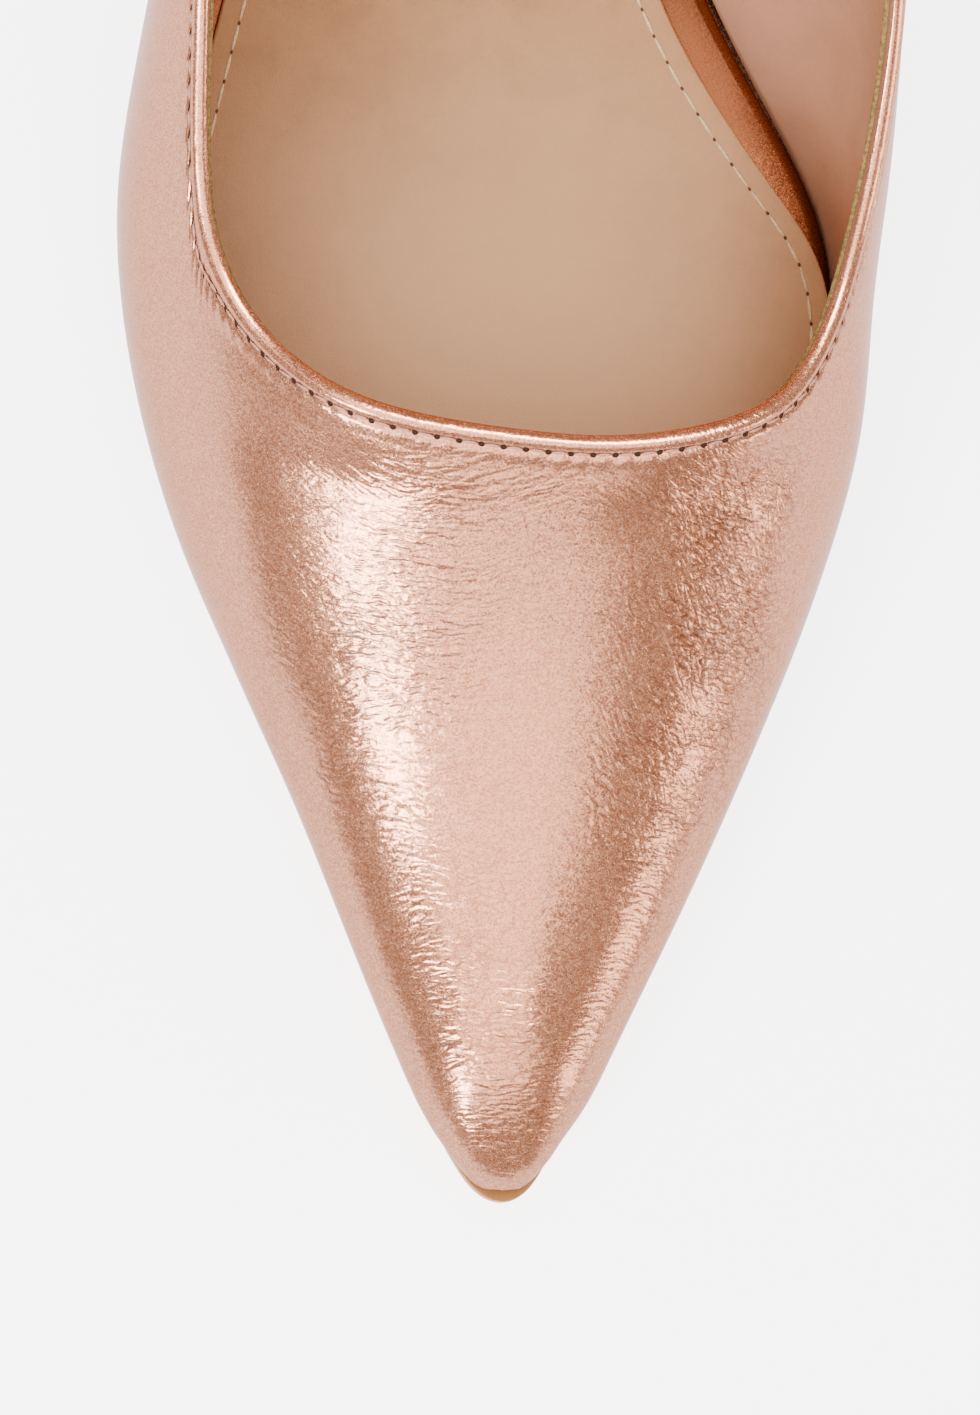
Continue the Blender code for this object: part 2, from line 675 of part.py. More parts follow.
def build_sling(collection, leather, metal):
    """Sling, folded tab, buckle and keeper."""
    sling = Sling()
    rings = ribbon_rings(sling, sling_line(sling), SLING_THICK, SLING_WIDE)
    finish_mesh("sling_strap", loft(rings), leather, collection)
    rings = ribbon_rings(sling, tab_line(), TAB_THICK, SLING_WIDE)
    finish_mesh("buckle_tab", loft(rings), leather, collection)

    bar_out = -(WIRE + FIT_GAP + TAB_THICK / 2)
    rail_out = SLING_THICK / 2 + FIT_GAP + WIRE
    places = []
    for run, across in frame_line():
        out = bar_out + (rail_out - bar_out) * run / BUCKLE_LONG
        places.append(sling.place(BAR_RUN + run, out, across))
    wire("buckle_frame", places, WIRE, True, metal, collection)

    rest = TAB_THICK / 2 + FIT_GAP + SLING_THICK + FIT_GAP + PRONG_WIRE
    tip_out = rail_out + WIRE + FIT_GAP + PRONG_WIRE
    prong = ((PRONG_START, rest), (BUCKLE_LONG * 0.6, rest + 0.5), (BUCKLE_LONG + PRONG_PAST, tip_out))
    places = [sling.place(BAR_RUN + run, out, 0.0) for run, out in prong]
    wire("buckle_prong", places, PRONG_WIRE, False, metal, collection)

    rings = keeper_rings(sling)
    finish_mesh("strap_keeper", loft(rings, first_cap=False, last_cap=False), leather, collection)


def main():
    """Builds the shoe."""
    clear_scene()
    collection = bpy.data.collections.new("slingback_stiletto")
    bpy.context.scene.collection.children.link(collection)
    leather = finish("rose_gold_leather", (0.66, 0.40, 0.31), 0.34, 0.85)
    sole_finish = finish("tan_sole", (0.50, 0.26, 0.13), 0.45, 0.0)
    lining = finish("tan_lining", (0.55, 0.36, 0.24), 0.7, 0.0)
    rubber = finish("dark_top_piece", (0.12, 0.07, 0.05), 0.5, 0.0)
    metal = finish("pale_gold_metal", (0.83, 0.58, 0.42), 0.25, 1.0)
    build_upper(collection, leather)
    build_bottom(collection, sole_finish, leather, lining)
    build_heel(collection, leather, rubber)
    build_sling(collection, leather, metal)


main()
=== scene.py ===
"""Looks of a pointed slingback stiletto, a right shoe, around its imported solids.

Places are in millimetres: side (plus towards the inner side of the foot), station behind the toe tip, and
height over the ground. The upper is laid out in its flat pattern, as a station and a girth from the crest
line, minus on the outer side. A mesh is turned into metres only when it is written.
"""
import logging
import math
from collections.abc import Callable, Sequence
from dataclasses import dataclass
from enum import Enum

import bmesh
import bpy
import numpy as np
from mathutils import Matrix, Vector


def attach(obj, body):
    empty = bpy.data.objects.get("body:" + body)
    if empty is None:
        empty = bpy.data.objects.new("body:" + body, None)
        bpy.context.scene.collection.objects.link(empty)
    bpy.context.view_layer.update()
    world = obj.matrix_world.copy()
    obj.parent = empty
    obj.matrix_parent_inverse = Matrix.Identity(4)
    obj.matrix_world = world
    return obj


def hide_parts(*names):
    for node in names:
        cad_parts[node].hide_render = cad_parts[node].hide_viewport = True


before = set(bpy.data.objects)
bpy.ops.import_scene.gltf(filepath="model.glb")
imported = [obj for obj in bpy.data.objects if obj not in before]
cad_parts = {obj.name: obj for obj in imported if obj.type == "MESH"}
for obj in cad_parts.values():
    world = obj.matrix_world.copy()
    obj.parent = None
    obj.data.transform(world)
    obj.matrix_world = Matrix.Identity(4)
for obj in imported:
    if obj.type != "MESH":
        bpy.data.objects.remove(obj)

log = logging.getLogger("slingback")

Array = np.ndarray
Curve = Callable[[Array], Array]
Colour = tuple[float, float, float]

MM = 0.001
HALF = (0.5, 0.5, 0.5)     # middle of a noise colour
CENTRE_BACK = 118.4        # station of the world's origin
CENTRE_SIDE = -0.15        # side of the world's origin
JOIN_WITHIN = 0.000004     # metres between points of a seam that are made one
DROP_BELOW = 0.000001      # metres of the shortest edge that is kept


class Side(Enum):
    """The two sides of the foot, with the sign of their sides and girths."""

    LATERAL = -1
    MEDIAL = 1


# ---- Curves and the last ----


def natural_spline(places: Sequence[float], values: Sequence[float]) -> Curve:
    """Cubic through the given values, with no bending at its ends.

    Args:
        places: Rising parameters of the values.
        values: The values to pass through.

    Returns:
        A function of the parameter, for arrays too.
    """
    places = np.asarray(places, float)
    values = np.asarray(values, float)
    count = len(places)
    steps = np.diff(places)
    matrix = np.eye(count)
    right = np.zeros(count)
    for i in range(1, count - 1):
        matrix[i, i - 1:i + 2] = steps[i - 1], 2 * (steps[i - 1] + steps[i]), steps[i]
        right[i] = 6 * ((values[i + 1] - values[i]) / steps[i] - (values[i] - values[i - 1]) / steps[i - 1])
    bend = np.linalg.solve(matrix, right)

    def value(place: Array) -> Array:
        """The curve's value at a parameter.

        Args:
            place: Parameters.

        Returns:
            Values at them.
        """
        place = np.asarray(place, float)
        i = np.clip(np.searchsorted(places, place) - 1, 0, count - 2)
        after = place - places[i]
        before = places[i + 1] - place
        step = steps[i]
        cubic = (bend[i] * before ** 3 + bend[i + 1] * after ** 3) / (6 * step)
        low = (values[i] / step - bend[i] * step / 6) * before
        high = (values[i + 1] / step - bend[i + 1] * step / 6) * after
        return cubic + low + high

    return value


@dataclass(frozen=True)
class Table:
    """A short table with named columns, the first of them the station."""

    names: str
    rows: tuple[tuple[float, ...], ...]

    def column(self, name: str) -> Array:
        """The values of one column."""
        index = self.names.split().index(name)
        return np.array([row[index] for row in self.rows], float)

    def curve(self, name: str) -> Curve:
        """A column as a smooth function of the first one."""
        return natural_spline(self.column(self.names.split()[0]), self.column(name))

    def points(self) -> Array:
        """The rows as points."""
        return np.array(self.rows, float)


def run_along(points: Array) -> Array:
    """Length of a line of points from its start to each of them."""
    return np.concatenate(([0.0], np.cumsum(np.linalg.norm(np.diff(points, axis=0), axis=1))))


def at_runs(stops: Array, run: Array, rows: Array) -> Array:
    """Rows between given ones, at some of their runs."""
    return np.stack([np.interp(stops, run, axis) for axis in rows.T], axis=-1)


def even_curve(rows: Array, samples: int = 2000) -> Curve:
    """Smooth curve through points, by its share of the way along.

    Args:
        rows: The points, one row each.
        samples: How finely its length is worked out.

    Returns:
        A function from shares between 0 and 1 to points.
    """
    chord = run_along(rows)
    even = np.linspace(0, chord[-1], samples)
    dense = np.column_stack([natural_spline(chord, axis)(even) for axis in rows.T])
    run = run_along(dense)
    return lambda share: at_runs(share * run[-1], run, dense)


def round_loop(corners: Sequence[tuple[float, float]], radius: float, steps: int) -> tuple[Array, Array]:
    """Loop round a rectangle with round corners.

    Args:
        corners: Middles of the four corners, from the one with both numbers the highest.
        radius: Radius of the corners.
        steps: Points on each corner.

    Returns:
        Rows of points, and of directions out of the loop.
    """
    turns = [angle for quarter in range(4)
             for angle in np.radians(np.linspace(90 * quarter, 90 * quarter + 90, steps))]
    outward = np.array([(math.cos(angle), math.sin(angle)) for angle in turns])
    return np.repeat(np.array(corners, float), steps, axis=0) + radius * outward, outward


def even_corners(wide: float, high: float) -> tuple[tuple[float, float], ...]:
    """The four corners of a rectangle with its middle at zero."""
    return (wide, high), (-wide, high), (-wide, -high), (wide, -high)


def spline_weights(samples: int, handles: int = 7, degree: int = 3) -> Array:
    """Weights of a clamped B-spline's handles at even places along it.

    Args:
        samples: How many places.
        handles: How many handles the curve has.
        degree: Degree of the curve.

    Returns:
        One row of weights for each place.
    """
    inner = [i / (handles - degree) for i in range(handles - degree + 1)]
    knots = [0.0] * degree + inner + [1.0] * degree
    rows = []
    for place in np.linspace(0.0, 1.0, samples):
        last = min(int(place * (handles - degree)), handles - degree - 1) + degree
        weights = [1.0 if i == last else 0.0 for i in range(handles + degree)]
        for order in range(1, degree + 1):
            for i in range(handles + degree - order):
                rise = knots[i + order] - knots[i]
                fall = knots[i + order + 1] - knots[i + 1]
                left = (place - knots[i]) / rise * weights[i] if rise else 0.0
                right = (knots[i + order + 1] - place) / fall * weights[i + 1] if fall else 0.0
                weights[i] = left + right
        rows.append(weights[:handles])
    return np.array(rows)


@dataclass
class Last:
    """The form that the shoe is built on: sole line, bottom edge and cross sections."""

    length: float = 238.0
    toe_spring: float = 7.0
    spring_end: float = 72.0
    shank_start: float = 106.0
    feather_high: float = 2.5
    samples: int = 401
    shank: Table = Table("back height", (
        (106, 0.0), (112, 0.4), (120, 2.2), (132, 8.0), (145, 17.6), (160, 30.6),
        (175, 44.4), (190, 57.0), (205, 67.4), (220, 75.0), (238, 80.5),
    ))
    feather: Table = Table("back lateral medial", (
        (0, -0.9, 0.9), (3, 3.7, 5.2), (8, 6.9, 8.4), (20, 11.7, 13.8), (35, 17.3, 20.7),
        (50, 23.5, 27.1), (65, 30.4, 32.8), (80, 35.2, 36.6), (94, 37.6, 38.0), (104, 37.8, 36.6),
        (116, 36.2, 30.9), (130, 33.0, 22.8), (145, 29.4, 17.4), (160, 27.0, 16.2),
        (180, 25.8, 19.4), (200, 26.2, 22.8), (216, 24.6, 21.8), (230, 17.2, 14.4), (238, 1.5, -1.5),
    ))
    section: Table = Table(
        "back crest crest_side lateral_swell medial_swell wall shoulder_out shoulder_up", (
            (0, 0.0, 0.9, 0.0, 0.0, 0.0, 0.70, 0.90),
            (3, 6.0, 0.8, 0.9, 0.9, 2.4, 0.70, 0.90),
            (8, 10.0, 0.8, 1.6, 1.6, 4.0, 0.70, 0.89),
            (14, 12.6, 0.9, 2.0, 2.0, 5.0, 0.70, 0.89),
            (20, 14.3, 1.0, 2.6, 2.6, 5.8, 0.71, 0.89),
            (35, 19.0, 1.6, 3.5, 3.3, 7.8, 0.73, 0.90),
            (50, 25.4, 2.4, 4.1, 3.7, 10.0, 0.74, 0.91),
            (65, 33.2, 3.4, 4.5, 4.1, 12.0, 0.72, 0.90),
            (80, 41.4, 4.4, 5.2, 4.1, 14.5, 0.71, 0.89),
            (94, 50.0, 5.0, 5.7, 3.6, 17.0, 0.71, 0.88),
            (104, 57.0, 5.2, 6.0, 6.5, 19.5, 0.73, 0.88),
            (116, 66.0, 5.2, 6.0, 12.9, 22.5, 0.77, 0.88),
            (130, 76.0, 5.0, 7.2, 19.8, 26.0, 0.80, 0.88),
            (145, 86.0, 4.6, 8.4, 22.3, 29.0, 0.82, 0.88),
            (160, 95.0, 4.0, 8.8, 21.5, 31.0, 0.82, 0.88),
            (180, 104.0, 3.0, 8.0, 15.5, 32.0, 0.80, 0.88),
        ))

    def __post_init__(self) -> None:
        """Works the tables out as curves."""
        self.shank_height = self.shank.curve("height")
        self.edge = {side: self.round_curve(self.feather, side.name.lower()) for side in Side}
        names = self.section.names.split()[1:]
        self.shape = {name: self.round_curve(self.section, name) for name in names}
        self.weights = spline_weights(self.samples)
        self.stations = np.arange(0.0, 166.0, 0.25)
        _, girths = self.sections(self.stations)
        self.half = {Side.LATERAL: girths[:, 0], Side.MEDIAL: girths[:, -1]}

    def phase(self, back: Array) -> Array:
        """Angle that runs from 0 at the toe tip to pi at the back of the heel seat."""
        return np.arccos(np.clip(1 - 2 * np.asarray(back, float) / self.length, -1, 1))

    def round_curve(self, table: Table, name: str) -> Curve:
        """A table's column as a smooth function of the station, with round ends."""
        curve = natural_spline(self.phase(table.column("back")), table.column(name))
        return lambda back: curve(self.phase(back))

    def sole_height(self, back: Array) -> Array:
        """Height of the sole's underside.

        Args:
            back: Stations.

        Returns:
            Heights over the ground.
        """
        back = np.asarray(back, float)
        spring = self.toe_spring * np.clip(1 - back / self.spring_end, 0, None) ** 2
        rise = self.shank_height(np.clip(back, self.shank_start, self.length))
        return np.where(back < self.shank_start, spring, rise)

    def layer_height(self, back: Array, layer: Array) -> Array:
        """Height of a layer that lies so far over the sole's underside.

        Args:
            back: Stations.
            layer: Distances square to the sole line.

        Returns:
            Heights over the ground.
        """
        reach = 0.5
        slope = (self.sole_height(back + reach) - self.sole_height(back - reach)) / (2 * reach)
        return self.sole_height(back) + layer * np.sqrt(1 + slope ** 2)

    def sections(self, back: Array) -> tuple[Array, Array]:
        """Cross sections of the upper.

        Args:
            back: Stations.

        Returns:
            Lines of side and height, one for each station, and their girths from the crest.
        """
        shape = {name: curve(back) for name, curve in self.shape.items()}
        lateral = self.edge[Side.LATERAL](back)
        medial = self.edge[Side.MEDIAL](back)
        lateral_full = lateral + shape["lateral_swell"]
        medial_full = medial + shape["medial_swell"]
        middle, out, up = shape["crest_side"], shape["shoulder_out"], shape["shoulder_up"]
        top = shape["crest"] * 6 / (2 * up + 4)
        sides = (-lateral, -lateral_full, middle / 2 - lateral_full * out, middle,
                 middle / 2 + medial_full * out, medial_full, medial)
        flat = np.zeros_like(top)
        heights = (flat, shape["wall"], top * up, top, top * up, shape["wall"], flat)
        handles = np.stack((np.stack(sides, axis=-1), np.stack(heights, axis=-1)), axis=-1)
        lines = np.einsum("sk,nkd->nsd", self.weights, handles)
        lines[:, :, 1] += self.layer_height(back, self.feather_high)[:, None]
        steps = np.hypot(*np.moveaxis(np.diff(lines, axis=1), -1, 0))
        girths = np.concatenate((np.zeros((len(steps), 1)), np.cumsum(steps, axis=1)), axis=1)
        return lines, girths - girths[:, self.samples // 2][:, None]

    def half_girth(self, back: Array, side: Side) -> Array:
        """Girth from the crest to the bottom edge, minus on the outer side."""
        return np.interp(back, self.stations, self.half[side])

    def surface(self, back: Array, girth: Array) -> Array:
        """Places on the upper's outer face.

        Args:
            back: Stations, in any shape.
            girth: Girths, in the same shape.

        Returns:
            Places, with one more axis.
        """
        shape = np.shape(back)
        back, girth = np.ravel(back), np.ravel(girth)
        places = np.empty((len(back), 3))
        for start in range(0, len(back), 3000):
            lines, girths = self.sections(back[start:start + 3000])
            for i, (line, girths_here) in enumerate(zip(lines, girths), start):
                places[i, 0] = np.interp(girth[i], girths_here, line[:, 0])
                places[i, 2] = np.interp(girth[i], girths_here, line[:, 1])
        places[:, 1] = back
        return places.reshape(*shape, 3)


# ---- Meshes ----


def to_world(places: Array) -> Array:
    """Places as side, station and height become metres in the world."""
    return (np.asarray(places, float) - (CENTRE_SIDE, CENTRE_BACK, 0.0)) * MM


def unit(vectors: Array) -> Array:
    """Vectors of length one along the last axis."""
    return vectors / np.linalg.norm(vectors, axis=-1, keepdims=True)


def new_mesh(name: str, builder: bmesh.types.BMesh) -> bpy.types.Mesh:
    """Makes a mesh of what a builder holds.

    Args:
        name: Name of the mesh.
        builder: Its shape; it is freed.

    Returns:
        The mesh.
    """
    mesh = bpy.data.meshes.new(name)
    builder.to_mesh(mesh)
    builder.free()
    return mesh


def new_object(name: str, data: bpy.types.ID) -> bpy.types.Object:
    """Puts an object in the scene.

    Args:
        name: Name of the object.
        data: The mesh, light or camera that it shows.

    Returns:
        The object.
    """
    piece = bpy.data.objects.new(name, data)
    bpy.context.scene.collection.objects.link(piece)
    return piece


def skin(name: str, places: Array, fields: dict[str, Array] | None = None, closed: bool = False,
         sharp: float = 180.0) -> bpy.types.Object:
    """Mesh of a grid whose points are moved to given places.

    Args:
        name: Name of the piece.
        places: Grid of places; the first axis crossed with the second points outwards.
        fields: Vectors for the finish to read, by name, in grids of the same shape.
        closed: Whether edges that lie on each other are joined.
        sharp: Angle in degrees past which an edge stays sharp.

    Returns:
        The piece.
    """
    across, along = places.shape[0] - 1, places.shape[1] - 1
    builder = bmesh.new()
    bmesh.ops.create_grid(builder, x_segments=across, y_segments=along, size=0.5)
    mesh = new_mesh(name, builder)
    spots = np.empty(len(mesh.vertices) * 3)
    mesh.vertices.foreach_get("co", spots)
    spots = spots.reshape(-1, 3) + 0.5
    i = np.rint(spots[:, 0] * across).astype(int)
    j = np.rint(spots[:, 1] * along).astype(int)
    mesh.vertices.foreach_set("co", to_world(places)[i, j].ravel())
    for field_name, grid in (fields or {}).items():
        layer = mesh.attributes.new(field_name, "FLOAT_VECTOR", "POINT")
        layer.data.foreach_set("vector", np.ascontiguousarray(grid[i, j], float).ravel())
    if closed:
        builder = bmesh.new()
        builder.from_mesh(mesh)
        bmesh.ops.remove_doubles(builder, verts=builder.verts, dist=JOIN_WITHIN)
        bmesh.ops.dissolve_degenerate(builder, edges=builder.edges, dist=DROP_BELOW)
        bmesh.ops.recalc_face_normals(builder, faces=builder.faces)
        builder.to_mesh(mesh)
        builder.free()
    mesh.shade_smooth()
    if sharp < 180.0:
        mesh.set_sharp_from_angle(angle=math.radians(sharp))
    mesh.update()
    return new_object(name, mesh)


def round_trip(rings: Array) -> Array:
    """Rings whose first place comes again at their end."""
    return np.concatenate((rings, rings[:, :1]), axis=1)


def with_caps(rings: Array) -> Array:
    """Rings with a centre point added before the first and after the last.

    Args:
        rings: Grid of places, a ring in each row.

    Returns:
        The longer grid.
    """
    first = np.repeat(rings[:1].mean(axis=1, keepdims=True), rings.shape[1], axis=1)
    last = np.repeat(rings[-1:].mean(axis=1, keepdims=True), rings.shape[1], axis=1)
    return np.concatenate((first, rings, last))


def stitch_row(name: str, places: Array, ahead: Array, outward: Array, length: float,
               radius: float) -> bpy.types.Object:
    """A row of stitches as one mesh of small rounded lengths of thread.

    Args:
        name: Name of the piece.
        places: Middle of each stitch.
        ahead: Direction of the thread at each stitch.
        outward: Direction away from the leather at each stitch.
        length: Length of a stitch.
        radius: Radius of the thread.

    Returns:
        The piece.
    """
    builder = bmesh.new()
    size = Matrix.Diagonal((radius * MM, radius * 0.8 * MM, length / 2 * MM, 1.0))
    for place, along, out in zip(to_world(places), unit(ahead), unit(outward)):
        across = unit(np.cross(along, out))
        turn = Matrix((across, np.cross(along, across), along)).transposed().to_4x4()
        bmesh.ops.create_uvsphere(builder, u_segments=8, v_segments=6, radius=1.0,
                                  matrix=Matrix.Translation(place) @ turn @ size)
    mesh = new_mesh(name, builder)
    mesh.shade_smooth()
    return new_object(name, mesh)


def dress(piece: bpy.types.Object, slot: str, *finishes: bpy.types.Material,
          nodes: Sequence[str] = ()) -> None:
    """Gives a piece its finishes and its body, and hides the solids that it stands for.

    Args:
        piece: The piece.
        slot: Not used.
        finishes: Its materials, in order.
        nodes: The solids that it stands for.
    """
    for finish in finishes:
        piece.data.materials.append(finish)
    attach(piece, "root")
    if nodes:
        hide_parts(*nodes)
    log.info("%s: %d faces", piece.name, len(piece.data.polygons))


# ---- Finishes ----


class Term:
    """A number in a node tree, which Python's operators combine with others through Math nodes."""

    def __init__(self, tree: bpy.types.NodeTree, socket: bpy.types.NodeSocket) -> None:
        """Wraps an output socket."""
        self.tree = tree
        self.socket = socket

    def math(self, operation: str, *others: "Term | float", clamp: bool = False) -> "Term":
        """Adds a Math node.

        Args:
            operation: The node's operation.
            others: Its other inputs.
            clamp: Whether its result is kept between 0 and 1.

        Returns:
            The result.
        """
        nodes = Nodes(self.tree)
        node = nodes.node("Math", {"operation": operation, "use_clamp": clamp})
        for socket, value in zip(node.inputs, (self, *others)):
            nodes.put(socket, value)
        return Term(self.tree, node.outputs[0])

    def __add__(self, other: "Term | float") -> "Term":
        """Sum."""
        return self.math("ADD", other)

    __radd__ = __add__

    def __mul__(self, other: "Term | float") -> "Term":
        """Product."""
        return self.math("MULTIPLY", other)

    __rmul__ = __mul__

    def __sub__(self, other: "Term | float") -> "Term":
        """Difference."""
        return self.math("SUBTRACT", other)

    def __rsub__(self, other: float) -> "Term":
        """Difference from a number."""
        return (self * -1.0) + other

    def __truediv__(self, other: "Term | float") -> "Term":
        """Quotient."""
        return self.math("DIVIDE", other)

    def __pow__(self, other: float) -> "Term":
        """Power."""
        return self.math("POWER", other)

    def __abs__(self) -> "Term":
        """Absolute value."""
        return self.math("ABSOLUTE")

    def smooth(self, low: float, high: float) -> "Term":
        """Soft step from 0 at one value to 1 at another.

        Args:
            low: Value where it is 0.
            high: Value where it is 1, which may be the lower one.

        Returns:
            The step.
        """
        rising = low < high
        node = Nodes(self.tree).node(
            "MapRange", {"interpolation_type": "SMOOTHSTEP"}, Value=self, From_Min=min(low, high),
            From_Max=max(low, high), To_Min=float(not rising), To_Max=float(rising))
        return Term(self.tree, node.outputs[0])

    def near(self, middle: float, width: float) -> "Term":
        """Soft hump that is 1 at a value and 0 further off than a width."""
        return abs(self - middle).smooth(width, 0.0)

    def within(self, period: float) -> "Term":
        """Distance from the middle of the period that the value lies in."""
        return abs(self.math("FLOORED_MODULO", period) - period / 2)


class Nodes:
    """A node tree and the ways to add to it."""

    def __init__(self, tree: bpy.types.NodeTree) -> None:
        """Takes a tree."""
        self.tree = tree

    def put(self, socket: bpy.types.NodeSocket, value: object) -> None:
        """Links a term or a socket to an input, or sets it.

        Args:
            socket: The input.
            value: A term, an output, or what the input is set to.
        """
        if isinstance(value, Term):
            value = value.socket
        if isinstance(value, bpy.types.NodeSocket):
            self.tree.links.new(value, socket)
        else:
            socket.default_value = value

    def node(self, kind: str, settings: dict[str, object] | None = None,
             **values: object) -> bpy.types.Node:
        """Adds any node.

        Args:
            kind: The node's type without its prefix.
            settings: Its own options, set first.
            values: Its sockets' values or links, by name with spaces as underscores.

        Returns:
            The node.
        """
        node = self.tree.nodes.new("ShaderNode" + kind)
        for option, value in (settings or {}).items():
            setattr(node, option, value)
        for name, value in values.items():
            self.put(node.inputs[name.replace("_", " ")], value)
        return node

    def vector(self, operation: str, *values: object) -> bpy.types.Node:
        """Adds a Vector Math node with its inputs in order.

        Args:
            operation: The node's operation.
            values: Its inputs.

        Returns:
            The node.
        """
        node = self.node("VectorMath", {"operation": operation})
        for socket, value in zip(node.inputs, values):
            self.put(socket, value)
        return node

    def parts(self, vector: bpy.types.NodeSocket) -> tuple[Term, Term, Term]:
        """The three numbers of a vector."""
        node = self.node("SeparateXYZ", Vector=vector)
        return tuple(Term(self.tree, socket) for socket in node.outputs)

    def mix(self, share: Term, low: object, high: object) -> bpy.types.NodeSocket:
        """Colour between two colours.

        Args:
            share: Share of the second colour.
            low: The first colour or its socket.
            high: The second one.

        Returns:
            The colour's socket.
        """
        node = self.node("Mix", {"data_type": "RGBA"}, Factor=share)
        for socket, value in zip(node.inputs[6:8], (low, high)):
            self.put(socket, value if isinstance(value, bpy.types.NodeSocket) else (*value, 1.0))
        return node.outputs[2]


class Graph(Nodes):
    """The node tree of one finish."""

    def __init__(self, name: str, colour: Colour, roughness: float, metallic: float = 0.0,
                 **constants: object) -> None:
        """Starts a material.

        Args:
            name: Name of the material.
            colour: Its plain colour.
            roughness: Its plain roughness.
            metallic: How metallic it is.
            constants: Other sockets of the shader, by name with spaces as underscores.
        """
        self.material = bpy.data.materials.new(name)
        self.material.use_nodes = True
        self.material.diffuse_color = (*colour, 1.0)
        super().__init__(self.material.node_tree)
        self.shader = self.tree.nodes["Principled BSDF"]
        constants |= {"Base_Color": (*colour, 1.0), "Roughness": roughness, "Metallic": metallic}
        for socket, value in constants.items():
            self.feed(socket.replace("_", " "), value)

    def feed(self, name: str, value: object) -> None:
        """Gives a value to one of the shader's sockets."""
        self.put(self.shader.inputs[name], value)

    def place(self) -> bpy.types.NodeSocket:
        """Object coordinates in millimetres."""
        coordinates = self.node("TexCoord").outputs["Object"]
        return self.scaled(coordinates, (1 / MM, 1 / MM, 1 / MM))

    def field(self, name: str) -> bpy.types.NodeSocket:
        """One of the piece's own vectors."""
        return self.node("Attribute", {"attribute_name": name}).outputs["Vector"]

    def scaled(self, vector: bpy.types.NodeSocket, scale: tuple[float, float, float],
               turn: float = 0.0) -> bpy.types.NodeSocket:
        """A vector turned about Z by an angle in degrees, then scaled.

        Args:
            vector: The vector.
            scale: Factors along its three axes.
            turn: The angle.

        Returns:
            The new vector.
        """
        if turn:
            vector = self.node("VectorRotate", {"rotation_type": "Z_AXIS"}, Vector=vector,
                               Angle=math.radians(turn)).outputs[0]
        return self.node("Mapping", {"vector_type": "POINT"}, Vector=vector, Scale=scale).outputs[0]

    def warped(self, vector: bpy.types.NodeSocket, size: float, reach: float) -> bpy.types.NodeSocket:
        """A vector pushed about by a slow noise.

        Args:
            vector: The vector.
            size: Size of the noise's lumps.
            reach: How far it pushes.

        Returns:
            The pushed vector.
        """
        noise = self.node("TexNoise", Vector=vector, Scale=1 / size, Detail=1.0)
        centred = self.vector("SUBTRACT", noise.outputs["Color"], HALF)
        return self.vector("MULTIPLY_ADD", centred.outputs[0], (2 * reach,) * 3, vector).outputs[0]

    def noise(self, vector: bpy.types.NodeSocket, size: float, detail: float = 2.0,
              distortion: float = 0.0) -> Term:
        """Noise between 0 and 1 with lumps of a size."""
        node = self.node("TexNoise", Vector=vector, Scale=1 / size, Detail=detail, Distortion=distortion)
        return Term(self.tree, node.outputs["Fac"])

    def cells(self, vector: bpy.types.NodeSocket, size: float) -> Term:
        """Distance from the edges of uneven cells of a size, about 0.5 in their middles.

        Args:
            vector: The vector that the cells follow.
            size: Their size.

        Returns:
            The distance.
        """
        node = self.node("TexVoronoi", {"feature": "DISTANCE_TO_EDGE"}, Vector=vector, Scale=1 / size,
                         Randomness=0.85)
        return Term(self.tree, node.outputs["Distance"])

    def shade_of_cells(self, vector: bpy.types.NodeSocket, size: float) -> Term:
        """A chance number between 0 and 1 for each of many small cells."""
        node = self.node("TexVoronoi", Vector=vector, Scale=1 / size)
        return self.parts(node.outputs["Color"])[0]

    def facets(self, vector: bpy.types.NodeSocket, size: float) -> Term:
        """Height of many small flat flakes of a size, each tilted its own way.

        Args:
            vector: The vector that the flakes follow.
            size: Their size.

        Returns:
            The height.
        """
        node = self.node("TexVoronoi", Vector=vector, Scale=1 / size)
        within = self.vector("SUBTRACT", vector, node.outputs["Position"])
        chance = self.vector("SUBTRACT", node.outputs["Color"], HALF)
        tilt = self.vector("DOT_PRODUCT", within.outputs[0], chance.outputs[0])
        return Term(self.tree, tilt.outputs["Value"])

    def relief(self, height: Term, strength: float = 1.0) -> None:
        """Bump from a height in millimetres."""
        bump = self.node("Bump", Height=height, Distance=MM, Strength=strength)
        self.feed("Normal", bump.outputs[0])


@dataclass(frozen=True)
class Creases:
    """One set of creases in leather: width, how far they are drawn out (less is longer), turn in degrees,
    height, the soft step from their valleys to their tops, and how wide and how dark the valleys are
    painted as shade.
    Sizes and heights are in millimetres."""

    size: float
    drawn: float
    turn: float
    high: float
    step: tuple[float, float]
    # Painted shade: valley is how wide the painted shade in the crease valleys is, dark how dark it is.
    valley: float = 0.0
    dark: float = 0.0

    def lay(self, graph: Graph, vector: bpy.types.NodeSocket) -> bpy.types.NodeSocket:
        """A vector turned and drawn out as the creases are."""
        return graph.scaled(vector, (self.drawn, 1.0, 1.0), self.turn)


